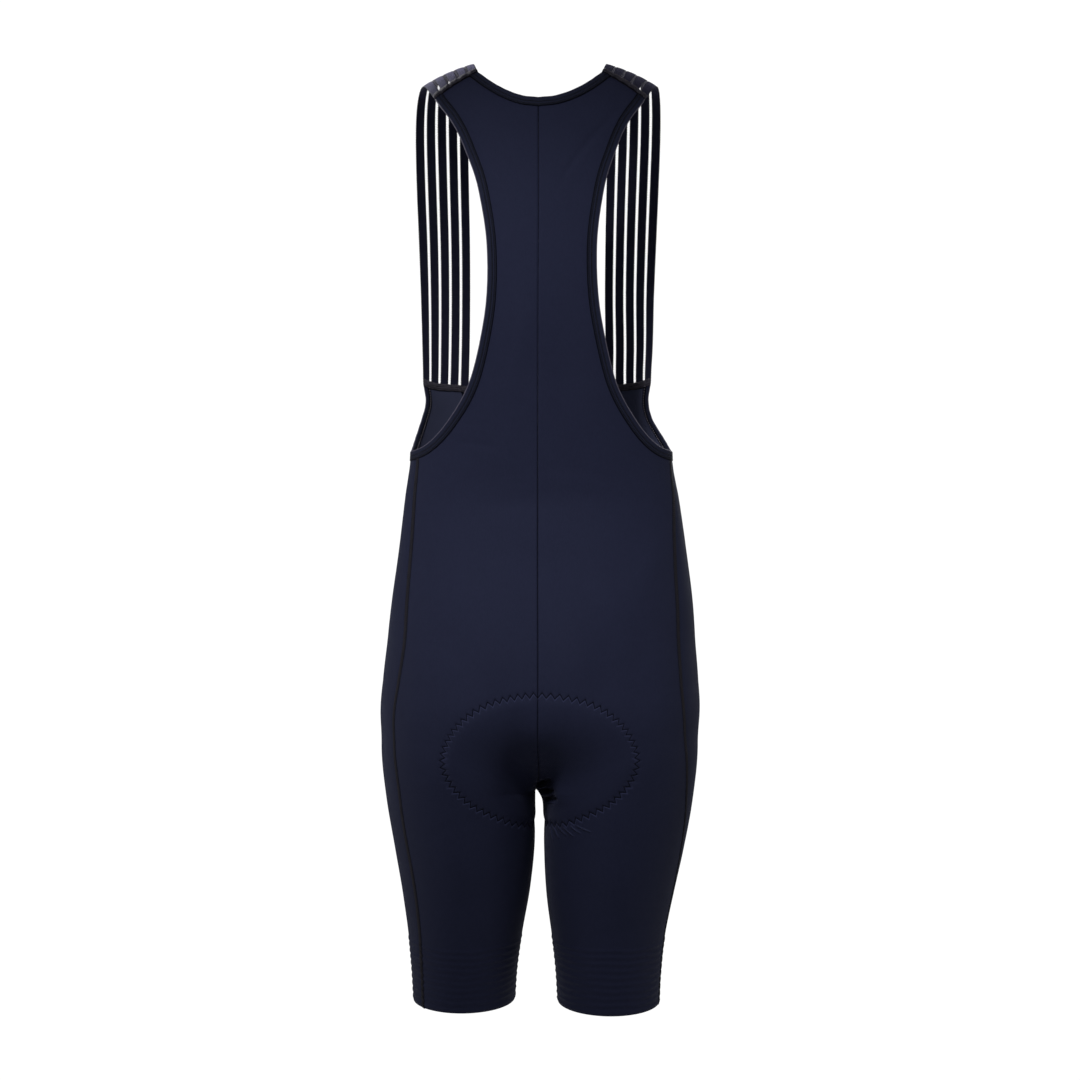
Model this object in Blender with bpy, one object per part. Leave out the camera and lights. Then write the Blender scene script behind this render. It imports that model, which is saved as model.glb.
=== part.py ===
"""Cycling bib shorts, held out in the shape of a wearer who isn't there.

The cloth is a set of thin walls on one smooth figure: a torso with a domed top and a
rounded seat, and two thighs. Each cut piece is a grid of points on that figure, given
its thickness inwards. Metres, +Z up. The origin is midway between the shoulders, where
the straps rest; the front faces -Y and the wearer's left is +X.
"""

import math

import bpy
import numpy as np

# ---------------------------------------------------------------- driving dimensions

CLOTH = 0.0012               # knitted panel
SEAM_GAP = 0.0003            # space between neighbouring pieces
BAND_WIDTH = 0.009           # folded elastic round the neck and armholes
BAND_THICKNESS = 0.0022
BAND_PROUD = 0.0005          # how far a band stands out from the panel beside it
STRAP_THICKNESS = 0.0015
HEM = -0.918                 # height of the raw leg hem
RIB_COUNT = 10               # ridges of the leg gripper
RIB_PITCH = 0.0065
RIB_HEIGHT = 0.0006
PAD_RIM = 0.0020             # thickness of the seat pad at its edge and in its middle
PAD_MIDDLE = 0.0080
PAD_GAP = 0.0026             # room between the pad and the flat faces of the panels
WAIST = -0.44                # rows of cloth are level from the waist to the hips
HIPS = -0.58
THIGH = -0.76                # and level again from here to the hem
CROTCH_Y = 0.0035            # the four panels meet this far behind the side line

# The figure's torso, a ring at each height: half width, front and back depth from the
# middle, and how square the ring is (2 is an ellipse).
TORSO = (
    # height, half_width, front, back, squareness
    (-0.050, 0.1550, 0.082, 0.086, 2.00),
    (-0.150, 0.1550, 0.104, 0.092, 2.10),
    (-0.250, 0.1470, 0.110, 0.083, 2.20),
    (-0.310, 0.1380, 0.109, 0.072, 2.25),
    (-0.375, 0.1305, 0.106, 0.063, 2.30),
    (-0.420, 0.1370, 0.105, 0.061, 2.30),
    (-0.470, 0.1435, 0.106, 0.072, 2.30),
    (-0.530, 0.1510, 0.107, 0.094, 2.30),
    (-0.580, 0.1540, 0.106, 0.109, 2.25),
    (-0.640, 0.1505, 0.104, 0.117, 2.20),
    (-0.700, 0.1450, 0.100, 0.112, 2.20),
)
SHOULDER_FOOT = -0.0675      # the torso closes in a dome above this height
SHOULDER_RISE = 0.0895
SEAT_FOOT = -0.600           # and in a rounded seat below this one
SEAT_DROP = 0.0885
SEAT_FULLNESS = 2.8          # how long the seat stays full before it turns under

# One thigh, the left: an ellipse at each height.
THIGH_RINGS = (
    # height, centre_x, centre_y, half_width, half_depth
    (-0.600, 0.0770, 0.004, 0.0730, 0.094),
    (-0.660, 0.0800, 0.005, 0.0772, 0.101),
    (-0.715, 0.0785, 0.004, 0.0740, 0.094),
    (-0.765, 0.0748, 0.002, 0.0692, 0.086),
    (-0.810, 0.0722, 0.000, 0.0632, 0.077),
    (-0.855, 0.0718, -0.002, 0.0562, 0.069),
    (-0.885, 0.0722, -0.003, 0.0527, 0.064),
    (-0.930, 0.0724, -0.004, 0.0500, 0.060),
)
THIGH_TOP = -0.640           # a thigh closes in a dome above this height
THIGH_RISE = 0.100
BLEND = 0.030                # how softly the thighs run into the torso
BETWEEN = 0.003              # rounding between the two thighs

# The side seams lie behind the sides. As worn, the left one has turned further back.
SIDE_SEAMS = (
    # height, left_degrees, right_degrees behind the side
    (-0.370, 25.0, 14.0),
    (-0.470, 30.0, 30.0),
    (-0.560, 34.0, 34.0),
    (-0.640, 33.0, 34.5),
    (-0.700, 38.5, 31.0),
    (-0.780, 43.0, 22.0),
    (-0.920, 41.0, 14.0),
)

# Edge of the armhole from the shoulder seam, down the back, under the arm and up to
# the front end of the strap: the turn from centre back and the height.
ARMHOLE = (
    # turn_degrees, height
    (61.8, -0.0322),
    (49.7, -0.0595),
    (41.9, -0.0900),
    (35.1, -0.1270),
    (31.4, -0.1800),
    (34.6, -0.2400),
    (46.2, -0.3020),
    (59.2, -0.3410),
    (71.7, -0.3657),
    (84.0, -0.3715),
    (96.0, -0.3680),
    (107.5, -0.3540),
    (114.5, -0.3350),
    (117.5, -0.3140),
    (116.8, -0.2930),
)
BACK_NECK = (
    # x, height
    (0.0000, -0.0376),
    (0.0150, -0.0358),
    (0.0290, -0.0305),
    (0.0460, -0.0196),
    (0.0610, -0.0054),
)
FRONT_NECK = (
    # x, height
    (0.0000, -0.3720),
    (0.0220, -0.3685),
    (0.0450, -0.3540),
    (0.0630, -0.3310),
    (0.0750, -0.3020),
)
STRAP_PIVOT = -0.090         # the strap turns over the shoulder about this height
STRAP_FRONT_X = (0.0712, 0.1232)   # its inner and outer edge on the chest

# The seat pad: half its width along its middle line, measured over the surface from
# the crotch, towards the back where positive.
SEAT_PAD = (
    # along, half_width
    (0.164, 0.020),
    (0.158, 0.044),
    (0.143, 0.068),
    (0.122, 0.085),
    (0.100, 0.092),
    (0.080, 0.084),
    (0.058, 0.067),
    (0.035, 0.054),
    (0.008, 0.041),
    (-0.040, 0.036),
    (-0.100, 0.042),
    (-0.140, 0.038),
    (-0.158, 0.018),
)

# Columns and rows of the pieces' grids.
NECK_COLUMNS = 6
SHOULDER_COLUMNS = 5
COLUMNS = NECK_COLUMNS + SHOULDER_COLUMNS
BACK_ARM_ROWS = 13
FRONT_ARM_ROWS = 5
WAIST_ROWS = 3
HIP_ROWS = 6
CROTCH_ROWS = 10
INSEAM_ROWS = 4
THIGH_ROWS = 4
STRAP_OVER_ROWS = 13
STRAP_DOWN_ROWS = 8
STRAP_COLUMNS = 5
BAND_COLUMNS = 2
PAD_ROWS = 20
PAD_COLUMNS = 6

BACK = 1.0
FRONT = -1.0
DOWN = (0.0, 0.0, -1.0)
MIRROR = (-1.0, 1.0, 1.0)    # left points times this are right points

# How finely lines are found on the figure before they are cut into even steps.
FIRST_STEP = 0.01            # a line out of the figure starts this far from its axis
STRIDE_SHARE = 0.85          # and goes on by this share of the distance left
STRIDES = 60
SLOPE_STEP = 1e-5
WALK_STEPS = 24
EVENING_ROUNDS = 80          # rounds in which the points of a panel are spread evenly
FINE_POINTS = 60
FINE_ARMHOLE = 400
INSEAM_CROWDING = 1.5        # rows lie closer together near the crotch
PAD_CROWDING = 1.4           # and the pad's columns near its middle line
LEAST_MITRE = 0.3            # keeps a sharp corner's trim from running away
SMOOTH_BELOW_DEGREES = 50


# ---------------------------------------------------------------- the figure

def unit(vectors):
    return vectors / np.linalg.norm(vectors, axis=-1, keepdims=True)


def smooth_columns(table, keys):
    """The columns of a table at some keys, on a smooth curve through its rows."""
    rows = np.array(sorted(table))
    knots = rows[:, 0]
    values = rows[:, 1:]
    slopes = np.gradient(values, knots, axis=0)
    keys = np.clip(keys, knots[0], knots[-1])
    i = np.clip(np.searchsorted(knots, keys) - 1, 0, len(knots) - 2)
    step = (knots[i + 1] - knots[i])[..., None]
    t = (keys - knots[i])[..., None] / step
    curve = (
        (1 + 2 * t) * (1 - t) ** 2 * values[i]
        + t * (1 - t) ** 2 * step * slopes[i]
        + t * t * (3 - 2 * t) * values[i + 1]
        + t * t * (t - 1) * step * slopes[i + 1]
    )
    return np.moveaxis(curve, -1, 0)


def torso_distance(points):
    x, y, z = np.abs(points[..., 0]), points[..., 1], points[..., 2]
    half, front, back, square = smooth_columns(TORSO, z)
    depth = np.where(y < 0, front, back)
    ring = ((x / half) ** square + (np.abs(y) / depth) ** square) ** (1 / square)
    above = np.maximum(z - SHOULDER_FOOT, 0)
    below = np.maximum(SEAT_FOOT - z, 0)
    seat = (below / SEAT_DROP) ** SEAT_FULLNESS
    whole = np.sqrt(ring**2 + (above / SHOULDER_RISE) ** 2 + seat)
    reach = np.sqrt(x * x + y * y + above * above + below * below)
    return reach * (1 - 1 / np.maximum(whole, 1e-6))


def thigh_distance(points):
    centre_x, centre_y, half_width, half_depth = smooth_columns(THIGH_RINGS, points[..., 2])
    x = np.sqrt(points[..., 0] ** 2 + BETWEEN**2) - centre_x
    y = points[..., 1] - centre_y
    above = np.maximum(points[..., 2] - THIGH_TOP, 0)
    whole = np.sqrt((x / half_width) ** 2 + (y / half_depth) ** 2 + (above / THIGH_RISE) ** 2)
    reach = np.sqrt(x * x + y * y + above * above)
    return reach * (1 - 1 / np.maximum(whole, 1e-6))


def figure(points):
    """About how far points are outside the figure, less than 0 inside it."""
    torso = torso_distance(points)
    thigh = thigh_distance(points)
    share = np.clip(0.5 + 0.5 * (thigh - torso) / BLEND, 0, 1)
    return thigh * (1 - share) + torso * share - BLEND * share * (1 - share)


def slope(points):
    axes = np.eye(3) * SLOPE_STEP
    rises = [figure(points + a) - figure(points - a) for a in axes]
    return np.stack(rises, -1) / (2 * SLOPE_STEP)


def outward(points):
    return unit(slope(points))


def settle(points, rounds=6):
    """Moves points that are near the figure onto it."""
    for _ in range(rounds):
        rise = slope(points)
        points = points - rise * (figure(points) / np.sum(rise * rise, -1))[..., None]
    return points


def shoot(start, direction):
    """The first place where a line from inside the figure comes out of it."""
    direction = unit(np.asarray(direction, float))
    start = np.asarray(start, float)
    along = np.full(np.broadcast(start, direction).shape[:-1], FIRST_STEP)
    for _ in range(STRIDES):
        along = along - STRIDE_SHARE * figure(start + along[..., None] * direction)
    return start + along[..., None] * direction


def walk(points, directions, distances):
    """Goes some distances over the figure, straight ahead."""
    stride = (np.asarray(distances) / WALK_STEPS)[..., None]
    for _ in range(WALK_STEPS):
        points = settle(points + directions * stride, 2)
        up = outward(points)
        directions = unit(directions - up * np.sum(directions * up, -1)[..., None])
    return points


# ---------------------------------------------------------------- lines on the figure

def spaced(line, count):
    """A line's points again, count + 1 of them at even distances."""
    lengths = np.linalg.norm(np.diff(line, axis=0), axis=1)
    travelled = np.concatenate([[0.0], np.cumsum(lengths)])
    places = np.linspace(0, travelled[-1], count + 1)
    return np.stack([np.interp(places, travelled, line[:, k]) for k in range(3)], -1)


def hub(heights):
    """The middle of a row of cloth: the torso's, and lower down the thigh's."""
    share = np.clip((HIPS - heights) / (HIPS - THIGH), 0, 1)
    share = share * share * (3 - 2 * share)
    centre_x, centre_y = smooth_columns(THIGH_RINGS, heights)[:2]
    return np.stack([centre_x * share, centre_y * share, heights], -1), share


def side_seam(heights, side):
    heights = np.asarray(heights, float)
    turns = smooth_columns(SIDE_SEAMS, heights)
    turn = np.radians(turns[0] if side == "left" else turns[1])
    middle, share = hub(heights)
    torso = smooth_columns(TORSO, heights)
    thigh = smooth_columns(THIGH_RINGS, heights)
    wide = torso[0] * (1 - share) + thigh[2] * share
    deep = torso[2] * (1 - share) + thigh[3] * share
    direction = np.stack([np.cos(turn) * wide, np.sin(turn) * deep, 0 * heights], -1)
    return shoot(middle, direction)


def level_row(height, first_turn, last_point, count):
    """A row of cloth at one height, from a turn about its hub to the side seam."""
    middle = hub(np.array(height))[0]
    last_turn = math.atan2(last_point[1] - middle[1], last_point[0] - middle[0])
    turns = np.linspace(first_turn, last_turn, 8 * count + 1)
    directions = np.stack([np.cos(turns), np.sin(turns), 0 * turns], -1)
    return spaced(shoot(middle, directions), count)


def centre_line(face, count):
    """The middle seam from the hips, round the seat or the belly, to the crotch."""
    turns = np.linspace(0, math.pi / 2, FINE_POINTS)
    directions = np.stack([0 * turns, face * np.cos(turns), -np.sin(turns)], -1)
    return spaced(shoot(np.array([0.0, CROTCH_Y, HIPS]), directions), count)


def hub_of_thigh(heights):
    centre_x, centre_y = smooth_columns(THIGH_RINGS, heights)[:2]
    return np.stack([centre_x, centre_y, heights], -1)


def inseam(count):
    """The seam inside the left thigh, from the crotch to where rows are level."""
    crotch = centre_line(BACK, CROTCH_ROWS)[-1]
    shares = np.linspace(0, 1, count + 1)[1:] ** INSEAM_CROWDING
    heights = crotch[2] + (THIGH - crotch[2]) * shares
    below = shoot(hub_of_thigh(heights), np.array([-1.0, 0.0, 0.0]))
    return np.vstack([crotch, below])


def armhole_edge(count):
    table = np.array(ARMHOLE)
    parts = np.linspace(0, 1, len(table))
    fine = np.linspace(0, 1, FINE_ARMHOLE // 2)
    turns, heights = smooth_columns(np.column_stack([parts, table]).tolist(), fine)
    turns = np.radians(turns)
    start = np.stack([0 * heights, 0 * heights, heights], -1)
    edge = shoot(start, np.stack([np.sin(turns), np.cos(turns), 0 * turns], -1))
    return spaced(edge, count)


def neck_edge(table, face, count):
    xs = np.linspace(0, table[-1][0], FINE_POINTS)
    heights = smooth_columns(table, xs)[0]
    start = np.stack([xs, 0 * xs, heights], -1)
    return spaced(shoot(start, np.array([0.0, face, 0.0])), count)


def inset(edge, width, sign, first=None, last=None):
    """An edge moved over the figure into the piece, by a band's width."""
    ahead = np.gradient(edge, axis=0)
    inwards = unit(np.cross(outward(edge), ahead)) * sign
    steps = inwards * width
    for place, direction in ((0, first), (-1, last)):
        if direction is not None:
            direction = unit(np.asarray(direction, float))
            steps[place] = direction * width / np.dot(direction, inwards[place])
    return settle(edge + steps)


# ---------------------------------------------------------------- grids of cloth

def fill(grid, known):
    """Lays the rows that aren't known yet between those that are, and evens them out."""
    rows = np.flatnonzero(known)
    across = np.linspace(0, 1, grid.shape[1])[None, :, None]
    for above, below in zip(rows[:-1], rows[1:]):
        inner = slice(above + 1, below)
        t = (np.arange(above + 1, below) - above)[:, None, None] / (below - above)
        body = grid[above] * (1 - t) + grid[below] * t
        left = grid[inner, :1] - body[:, :1]
        right = grid[inner, -1:] - body[:, -1:]
        body = body + left * (1 - across) + right * across
        grid[inner, 1:-1] = body[:, 1:-1]
    free = np.flatnonzero(~known)
    grid[free, 1:-1] = settle(grid[free, 1:-1])
    for _ in range(EVENING_ROUNDS):
        step = np.linalg.norm(grid[free, -1] - grid[free, 0], axis=-1) / (grid.shape[1] - 1)
        drop = np.linalg.norm(grid[free + 1] - grid[free - 1], axis=-1).mean(1) / 2
        pull = (1 / (1 + (step / drop) ** 2))[:, None, None]
        beside = (grid[free, :-2] + grid[free, 2:]) / 2
        over = (grid[free - 1, 1:-1] + grid[free + 1, 1:-1]) / 2
        grid[free, 1:-1] = settle(beside * pull + over * (1 - pull), 1)
    grid[free, 1:-1] = settle(grid[free, 1:-1])
    return grid


def strap_corners():
    """Where the neck edges end, at the strap's two ends."""
    return [
        neck_edge(table, face, 1)[-1]
        for table, face in ((BACK_NECK, BACK), (FRONT_NECK, FRONT))
    ]


def panel(face, side):
    """One of the four panels, on the left half: its points, and its ribs' heights."""
    quarter = face * math.pi / 2
    arm_rows = BACK_ARM_ROWS if face == BACK else FRONT_ARM_ROWS
    neck_table = BACK_NECK if face == BACK else FRONT_NECK
    arm, arm_inner = armhole_lines(side)
    if face == BACK:
        arm_inner = arm_inner[: BACK_ARM_ROWS + 1]
        shoulder_end = arm[0]
    else:
        arm_inner = arm_inner[BACK_ARM_ROWS:][::-1]
        shoulder_end = arm[-1]
    neck = neck_edge(neck_table, face, NECK_COLUMNS)
    neck_inner = inset(neck, BAND_WIDTH, face, DOWN, shoulder_end - neck[-1])
    shares = np.linspace(0, 1, SHOULDER_COLUMNS + 1)[1:, None]
    shoulder = settle(neck_inner[-1] * (1 - shares) + arm_inner[0] * shares)
    top = np.vstack([neck_inner, shoulder])

    waist_row = arm_rows + WAIST_ROWS
    hip_row = waist_row + HIP_ROWS
    thigh_row = hip_row + CROTCH_ROWS + INSEAM_ROWS
    gripper_row = thigh_row + THIGH_ROWS
    last_row = gripper_row + 2 * RIB_COUNT
    grid = np.zeros((last_row + 1, COLUMNS + 1, 3))
    known = np.zeros(last_row + 1, bool)

    grid[0] = top
    known[0] = True
    gripper_top = HEM + RIB_COUNT * RIB_PITCH
    heights = np.concatenate([
        np.linspace(WAIST, HIPS, HIP_ROWS + 1),
        np.linspace(THIGH, gripper_top, THIGH_ROWS + 1),
        np.linspace(gripper_top, HEM, 2 * RIB_COUNT + 1)[1:],
    ])
    level_rows = np.concatenate([
        np.arange(waist_row, hip_row + 1),
        np.arange(thigh_row, last_row + 1),
    ])
    seam = side_seam(heights, side)
    for row, height, end in zip(level_rows, heights, seam):
        first_turn = quarter if row <= hip_row else face * math.pi
        grid[row] = level_row(height, first_turn, end, COLUMNS)
        known[row] = True

    centre_heights = np.linspace(top[0, 2], WAIST, waist_row + 1)
    starts = np.stack([0 * centre_heights, 0 * centre_heights, centre_heights], -1)
    grid[:waist_row, 0] = shoot(starts, np.array([0.0, face, 0.0]))[:-1]
    grid[:arm_rows + 1, -1] = arm_inner
    seam_heights = np.linspace(arm_inner[-1, 2], WAIST, WAIST_ROWS + 1)
    grid[arm_rows + 1:waist_row, -1] = side_seam(seam_heights, side)[1:-1]

    grid[hip_row:hip_row + CROTCH_ROWS + 1, 0] = centre_line(face, CROTCH_ROWS)
    grid[hip_row + CROTCH_ROWS:thigh_row + 1, 0] = inseam(INSEAM_ROWS)
    fork_heights = np.linspace(HIPS, THIGH, thigh_row - hip_row + 1)
    grid[hip_row + 1:thigh_row, -1] = side_seam(fork_heights, side)[1:-1]
    grid = fill(grid, known)
    grid[0] = top

    ribs = np.zeros(last_row + 1)
    ribs[gripper_row + 1:last_row:2] = RIB_HEIGHT
    return grid, ribs


def armhole_lines(side):
    """The armhole's edge and the line where its band ends, at the panels' rows."""
    line = armhole_edge(FINE_ARMHOLE)
    neck_back, neck_front = strap_corners()
    under_arm_height = min(height for _, height in ARMHOLE)
    gap = np.linalg.norm(line - side_seam([under_arm_height], side), axis=1)
    under_arm = int(np.argmin(gap))
    edge = np.vstack([
        spaced(line[: under_arm + 1], BACK_ARM_ROWS),
        spaced(line[under_arm:], FRONT_ARM_ROWS)[1:],
    ])
    inner = inset(edge, BAND_WIDTH, 1.0, neck_back - edge[0], neck_front - edge[-1])
    inner[BACK_ARM_ROWS] = side_seam([inner[BACK_ARM_ROWS, 2]], side)[0]
    return edge, inner


def border(rows, columns):
    """The places round a grid: along its first row, down its last column and back."""
    return (
        [(0, c) for c in range(columns)]
        + [(r, columns - 1) for r in range(1, rows)]
        + [(rows - 1, c) for c in range(columns - 2, -1, -1)]
        + [(r, 0) for r in range(rows - 2, 0, -1)]
    )


def turns_outward(grid):
    """Whether going on along a row and then down a column turns about the outside."""
    r, c = grid.shape[0] // 2, grid.shape[1] // 2
    turned = np.cross(grid[r, c] - grid[r, c - 1], grid[r, c] - grid[r - 1, c])
    return np.dot(turned, outward(grid[r, c])) > 0


def trimmed(grid):
    """A grid cut half a seam's gap inside its border."""
    places = border(*grid.shape[:2])
    rows, columns = np.array(places).T
    loop = grid[rows, columns]
    up = outward(loop)
    before = unit(loop - np.roll(loop, 1, axis=0))
    after = unit(np.roll(loop, -1, axis=0) - loop)
    side = SEAM_GAP / 2 * (1 if turns_outward(grid) else -1)
    first = unit(np.cross(up, before))
    second = unit(np.cross(up, after))
    spread = np.maximum(1 + np.sum(first * second, -1), LEAST_MITRE)
    grid = grid.copy()
    grid[rows, columns] = loop + (first + second) / spread[:, None] * side
    return grid


def band(edge, inner):
    """The strip between an edge and its inset line."""
    shares = np.linspace(0, 1, BAND_COLUMNS + 1)[None, :, None]
    return settle(edge[:, None] * (1 - shares) + inner[:, None] * shares)


def strap():
    """The left strap, from the shoulder seam over the shoulder and down the chest."""
    across = np.linspace(0, 1, STRAP_COLUMNS + 1)
    neck_back, neck_front = strap_corners()
    arm = armhole_edge(1)
    shares = across[:, None]
    seam = settle(neck_back * (1 - shares) + arm[0] * shares)
    ending = settle(neck_front * (1 - shares) + arm[-1] * shares)
    chest_x = STRAP_FRONT_X[0] * (1 - across) + STRAP_FRONT_X[1] * across
    first_turn = np.arctan2(seam[:, 2] - STRAP_PIVOT, seam[:, 1])
    rows = []
    for t in np.linspace(0, 1, STRAP_OVER_ROWS + 1):
        turn = first_turn + (math.pi - first_turn) * t
        x = seam[:, 0] + (chest_x - seam[:, 0]) * (1 - (1 - t) ** 4)
        start = np.stack([x, 0 * x, np.full_like(x, STRAP_PIVOT)], -1)
        rows.append(shoot(start, np.stack([0 * x, np.cos(turn), np.sin(turn)], -1)))
    for t in np.linspace(0, 1, STRAP_DOWN_ROWS + 1)[1:]:
        x = chest_x + (ending[:, 0] - chest_x) * t**2
        height = STRAP_PIVOT + (ending[:, 2] - STRAP_PIVOT) * t
        rows.append(shoot(np.stack([x, 0 * x, height], -1), np.array([0.0, FRONT, 0.0])))
    return np.array(rows)


def seat_pad():
    """The pad's middle surface across both halves, and its thickness."""
    back = centre_line(BACK, FINE_POINTS)
    front = centre_line(FRONT, FINE_POINTS)
    line = np.vstack([front, back[::-1][1:]])
    lengths = np.linalg.norm(np.diff(line, axis=0), axis=1)
    travelled = np.concatenate([[0.0], np.cumsum(lengths)])
    travelled -= travelled[len(front) - 1]
    places = np.linspace(SEAT_PAD[-1][0], SEAT_PAD[0][0], PAD_ROWS + 1)
    middle = np.stack([np.interp(places, travelled, line[:, k]) for k in range(3)], -1)
    half_width = smooth_columns(SEAT_PAD, places)[0]
    sideways = np.tile([1.0, 0.0, 0.0], (len(places), 1))
    shares = np.linspace(0, 1, PAD_COLUMNS + 1)[1:] ** PAD_CROWDING
    out = [walk(middle, sideways, half_width * share) for share in shares]
    columns = [points * np.array(MIRROR) for points in reversed(out)] + [middle] + out
    across = np.concatenate([shares[::-1], [0], shares])[None, :]
    along = np.abs(np.linspace(-1, 1, len(places)))[:, None]
    swell = (1 - across**3) * (1 - along**4)
    return np.stack(columns, 1), PAD_RIM + (PAD_MIDDLE - PAD_RIM) * swell


# ---------------------------------------------------------------- solids

def wall(grid, outer, inner):
    """A closed wall round a grid: how far its two faces lie outside the figure."""
    rows, columns = grid.shape[:2]
    up = outward(grid)
    faces_out = grid + up * np.broadcast_to(outer, (rows, columns))[..., None]
    faces_in = grid + up * np.broadcast_to(inner, (rows, columns))[..., None]
    points = np.vstack([faces_out.reshape(-1, 3), faces_in.reshape(-1, 3)])
    index = np.arange(rows * columns).reshape(rows, columns)
    back = index + rows * columns
    quads = []
    for r in range(rows - 1):
        for c in range(columns - 1):
            quads.append((index[r, c], index[r, c + 1], index[r + 1, c + 1], index[r + 1, c]))
            quads.append((back[r, c], back[r + 1, c], back[r + 1, c + 1], back[r, c + 1]))
    rim = border(rows, columns)
    for a, b in zip(rim, rim[1:] + rim[:1]):
        quads.append((index[b], index[a], back[a], back[b]))
    if not turns_outward(grid):
        quads = [q[::-1] for q in quads]
    return points, quads


def mirrored(solid):
    points, quads = solid
    return points * np.array(MIRROR), [q[::-1] for q in quads]


def finish(name, colour, roughness):
    material = bpy.data.materials.new(name)
    material.use_nodes = True
    shader = material.node_tree.nodes["Principled BSDF"]
    shader.inputs["Base Color"].default_value = (*colour, 1.0)
    shader.inputs["Roughness"].default_value = roughness
    shader.inputs["Metallic"].default_value = 0.0
    return material


def piece(name, solid, colour, roughness):
    points, quads = solid
    mesh = bpy.data.meshes.new(name)
    mesh.from_pydata(points.tolist(), [], [tuple(map(int, q)) for q in quads])
    mesh.shade_smooth()
    mesh.set_sharp_from_angle(angle=math.radians(SMOOTH_BELOW_DEGREES))
    mesh.materials.append(finish(name, colour, roughness))
    item = bpy.data.objects.new(name, mesh)
    bpy.context.scene.collection.objects.link(item)
    return item


# ---------------------------------------------------------------- the pieces

NAVY_KNIT = (0.013, 0.015, 0.029)
ELASTIC = (0.010, 0.011, 0.018)
STRIPED_ELASTIC = (0.060, 0.060, 0.085)
PAD_CLOTH = (0.020, 0.022, 0.036)


def build_panels():
    for side in ("left", "right"):
        for face, name in ((BACK, "back_panel_"), (FRONT, "front_panel_")):
            grid, ribs = panel(face, side)
            solid = wall(trimmed(grid), ribs[:, None], -CLOTH)
            if side == "right":
                solid = mirrored(solid)
            piece(name + side, solid, NAVY_KNIT, 0.6)


def build_bands():
    proud = BAND_PROUD
    inner = BAND_PROUD - BAND_THICKNESS
    for side in ("left", "right"):
        solid = wall(trimmed(band(*armhole_lines(side))), proud, inner)
        piece("armhole_band_" + side, mirrored(solid) if side == "right" else solid, ELASTIC, 0.55)
    for face, table, name in ((BACK, BACK_NECK, "back"), (FRONT, FRONT_NECK, "front")):
        edge = neck_edge(table, face, NECK_COLUMNS)
        arm = armhole_edge(1)
        shoulder_end = arm[0] if face == BACK else arm[-1]
        strip = band(edge, inset(edge, BAND_WIDTH, face, DOWN, shoulder_end - edge[-1]))
        other = strip[:0:-1] * np.array(MIRROR)
        whole = trimmed(np.vstack([other, strip]))
        piece("neck_band_" + name, wall(whole, proud, inner), ELASTIC, 0.55)


def build_straps():
    solid = wall(trimmed(strap()), 0.0, -STRAP_THICKNESS)
    piece("strap_left", solid, STRIPED_ELASTIC, 0.6)
    piece("strap_right", mirrored(solid), STRIPED_ELASTIC, 0.6)


def build_pad():
    grid, thickness = seat_pad()
    face = -(CLOTH + PAD_GAP)
    piece("seat_pad", wall(grid, face, face - thickness), PAD_CLOTH, 0.8)


for old in list(bpy.data.objects):
    bpy.data.objects.remove(old, do_unlink=True)

build_panels()
build_bands()
build_straps()
build_pad()
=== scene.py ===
import math

import bpy
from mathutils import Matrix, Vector
import numpy as np


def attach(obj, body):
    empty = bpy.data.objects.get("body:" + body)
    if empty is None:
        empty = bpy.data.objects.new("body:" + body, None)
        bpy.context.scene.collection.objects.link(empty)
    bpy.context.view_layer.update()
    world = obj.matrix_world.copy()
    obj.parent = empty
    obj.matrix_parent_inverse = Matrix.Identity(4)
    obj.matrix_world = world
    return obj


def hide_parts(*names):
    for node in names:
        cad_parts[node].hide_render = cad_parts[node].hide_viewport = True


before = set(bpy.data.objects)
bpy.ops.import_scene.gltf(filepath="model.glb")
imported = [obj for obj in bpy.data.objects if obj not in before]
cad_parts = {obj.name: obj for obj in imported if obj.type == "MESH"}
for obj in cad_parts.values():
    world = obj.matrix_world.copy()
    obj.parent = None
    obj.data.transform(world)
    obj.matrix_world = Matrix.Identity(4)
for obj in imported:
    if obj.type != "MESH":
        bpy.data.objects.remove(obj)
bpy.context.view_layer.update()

# ------------------------------------------------------------ the four knitted panels
# Left and right back and front, each cut in one from the shoulder or chest to the leg
# hem, of navy warp-knit with a lot of stretch. They are sewn edge to edge, so nothing
# but the knit's own pull shapes them: a torso, a rounded seat and two thighs.

CLOTH, SEAM_GAP, BAND_WIDTH = 0.0012, 0.0003, 0.009
RIB_COUNT, RIB_PITCH, RIB_HEIGHT = 10, 0.0065, 0.0006
WAIST, HIPS, THIGH, HEM = -0.44, -0.58, -0.76, -0.918
CROTCH_Y = 0.0035

TORSO = (
    # height, half_width, front, back, squareness
    (-0.050, 0.1550, 0.082, 0.086, 2.00),
    (-0.150, 0.1550, 0.104, 0.092, 2.10),
    (-0.250, 0.1470, 0.110, 0.083, 2.20),
    (-0.310, 0.1380, 0.109, 0.072, 2.25),
    (-0.375, 0.1305, 0.106, 0.063, 2.30),
    (-0.420, 0.1370, 0.105, 0.061, 2.30),
    (-0.470, 0.1435, 0.106, 0.072, 2.30),
    (-0.530, 0.1510, 0.107, 0.094, 2.30),
    (-0.580, 0.1540, 0.106, 0.109, 2.25),
    (-0.640, 0.1505, 0.104, 0.117, 2.20),
    (-0.700, 0.1450, 0.100, 0.112, 2.20),
)
SHOULDER_FOOT, SHOULDER_RISE = -0.0675, 0.0895
SEAT_FOOT, SEAT_DROP, SEAT_FULLNESS = -0.600, 0.0885, 2.8
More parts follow.
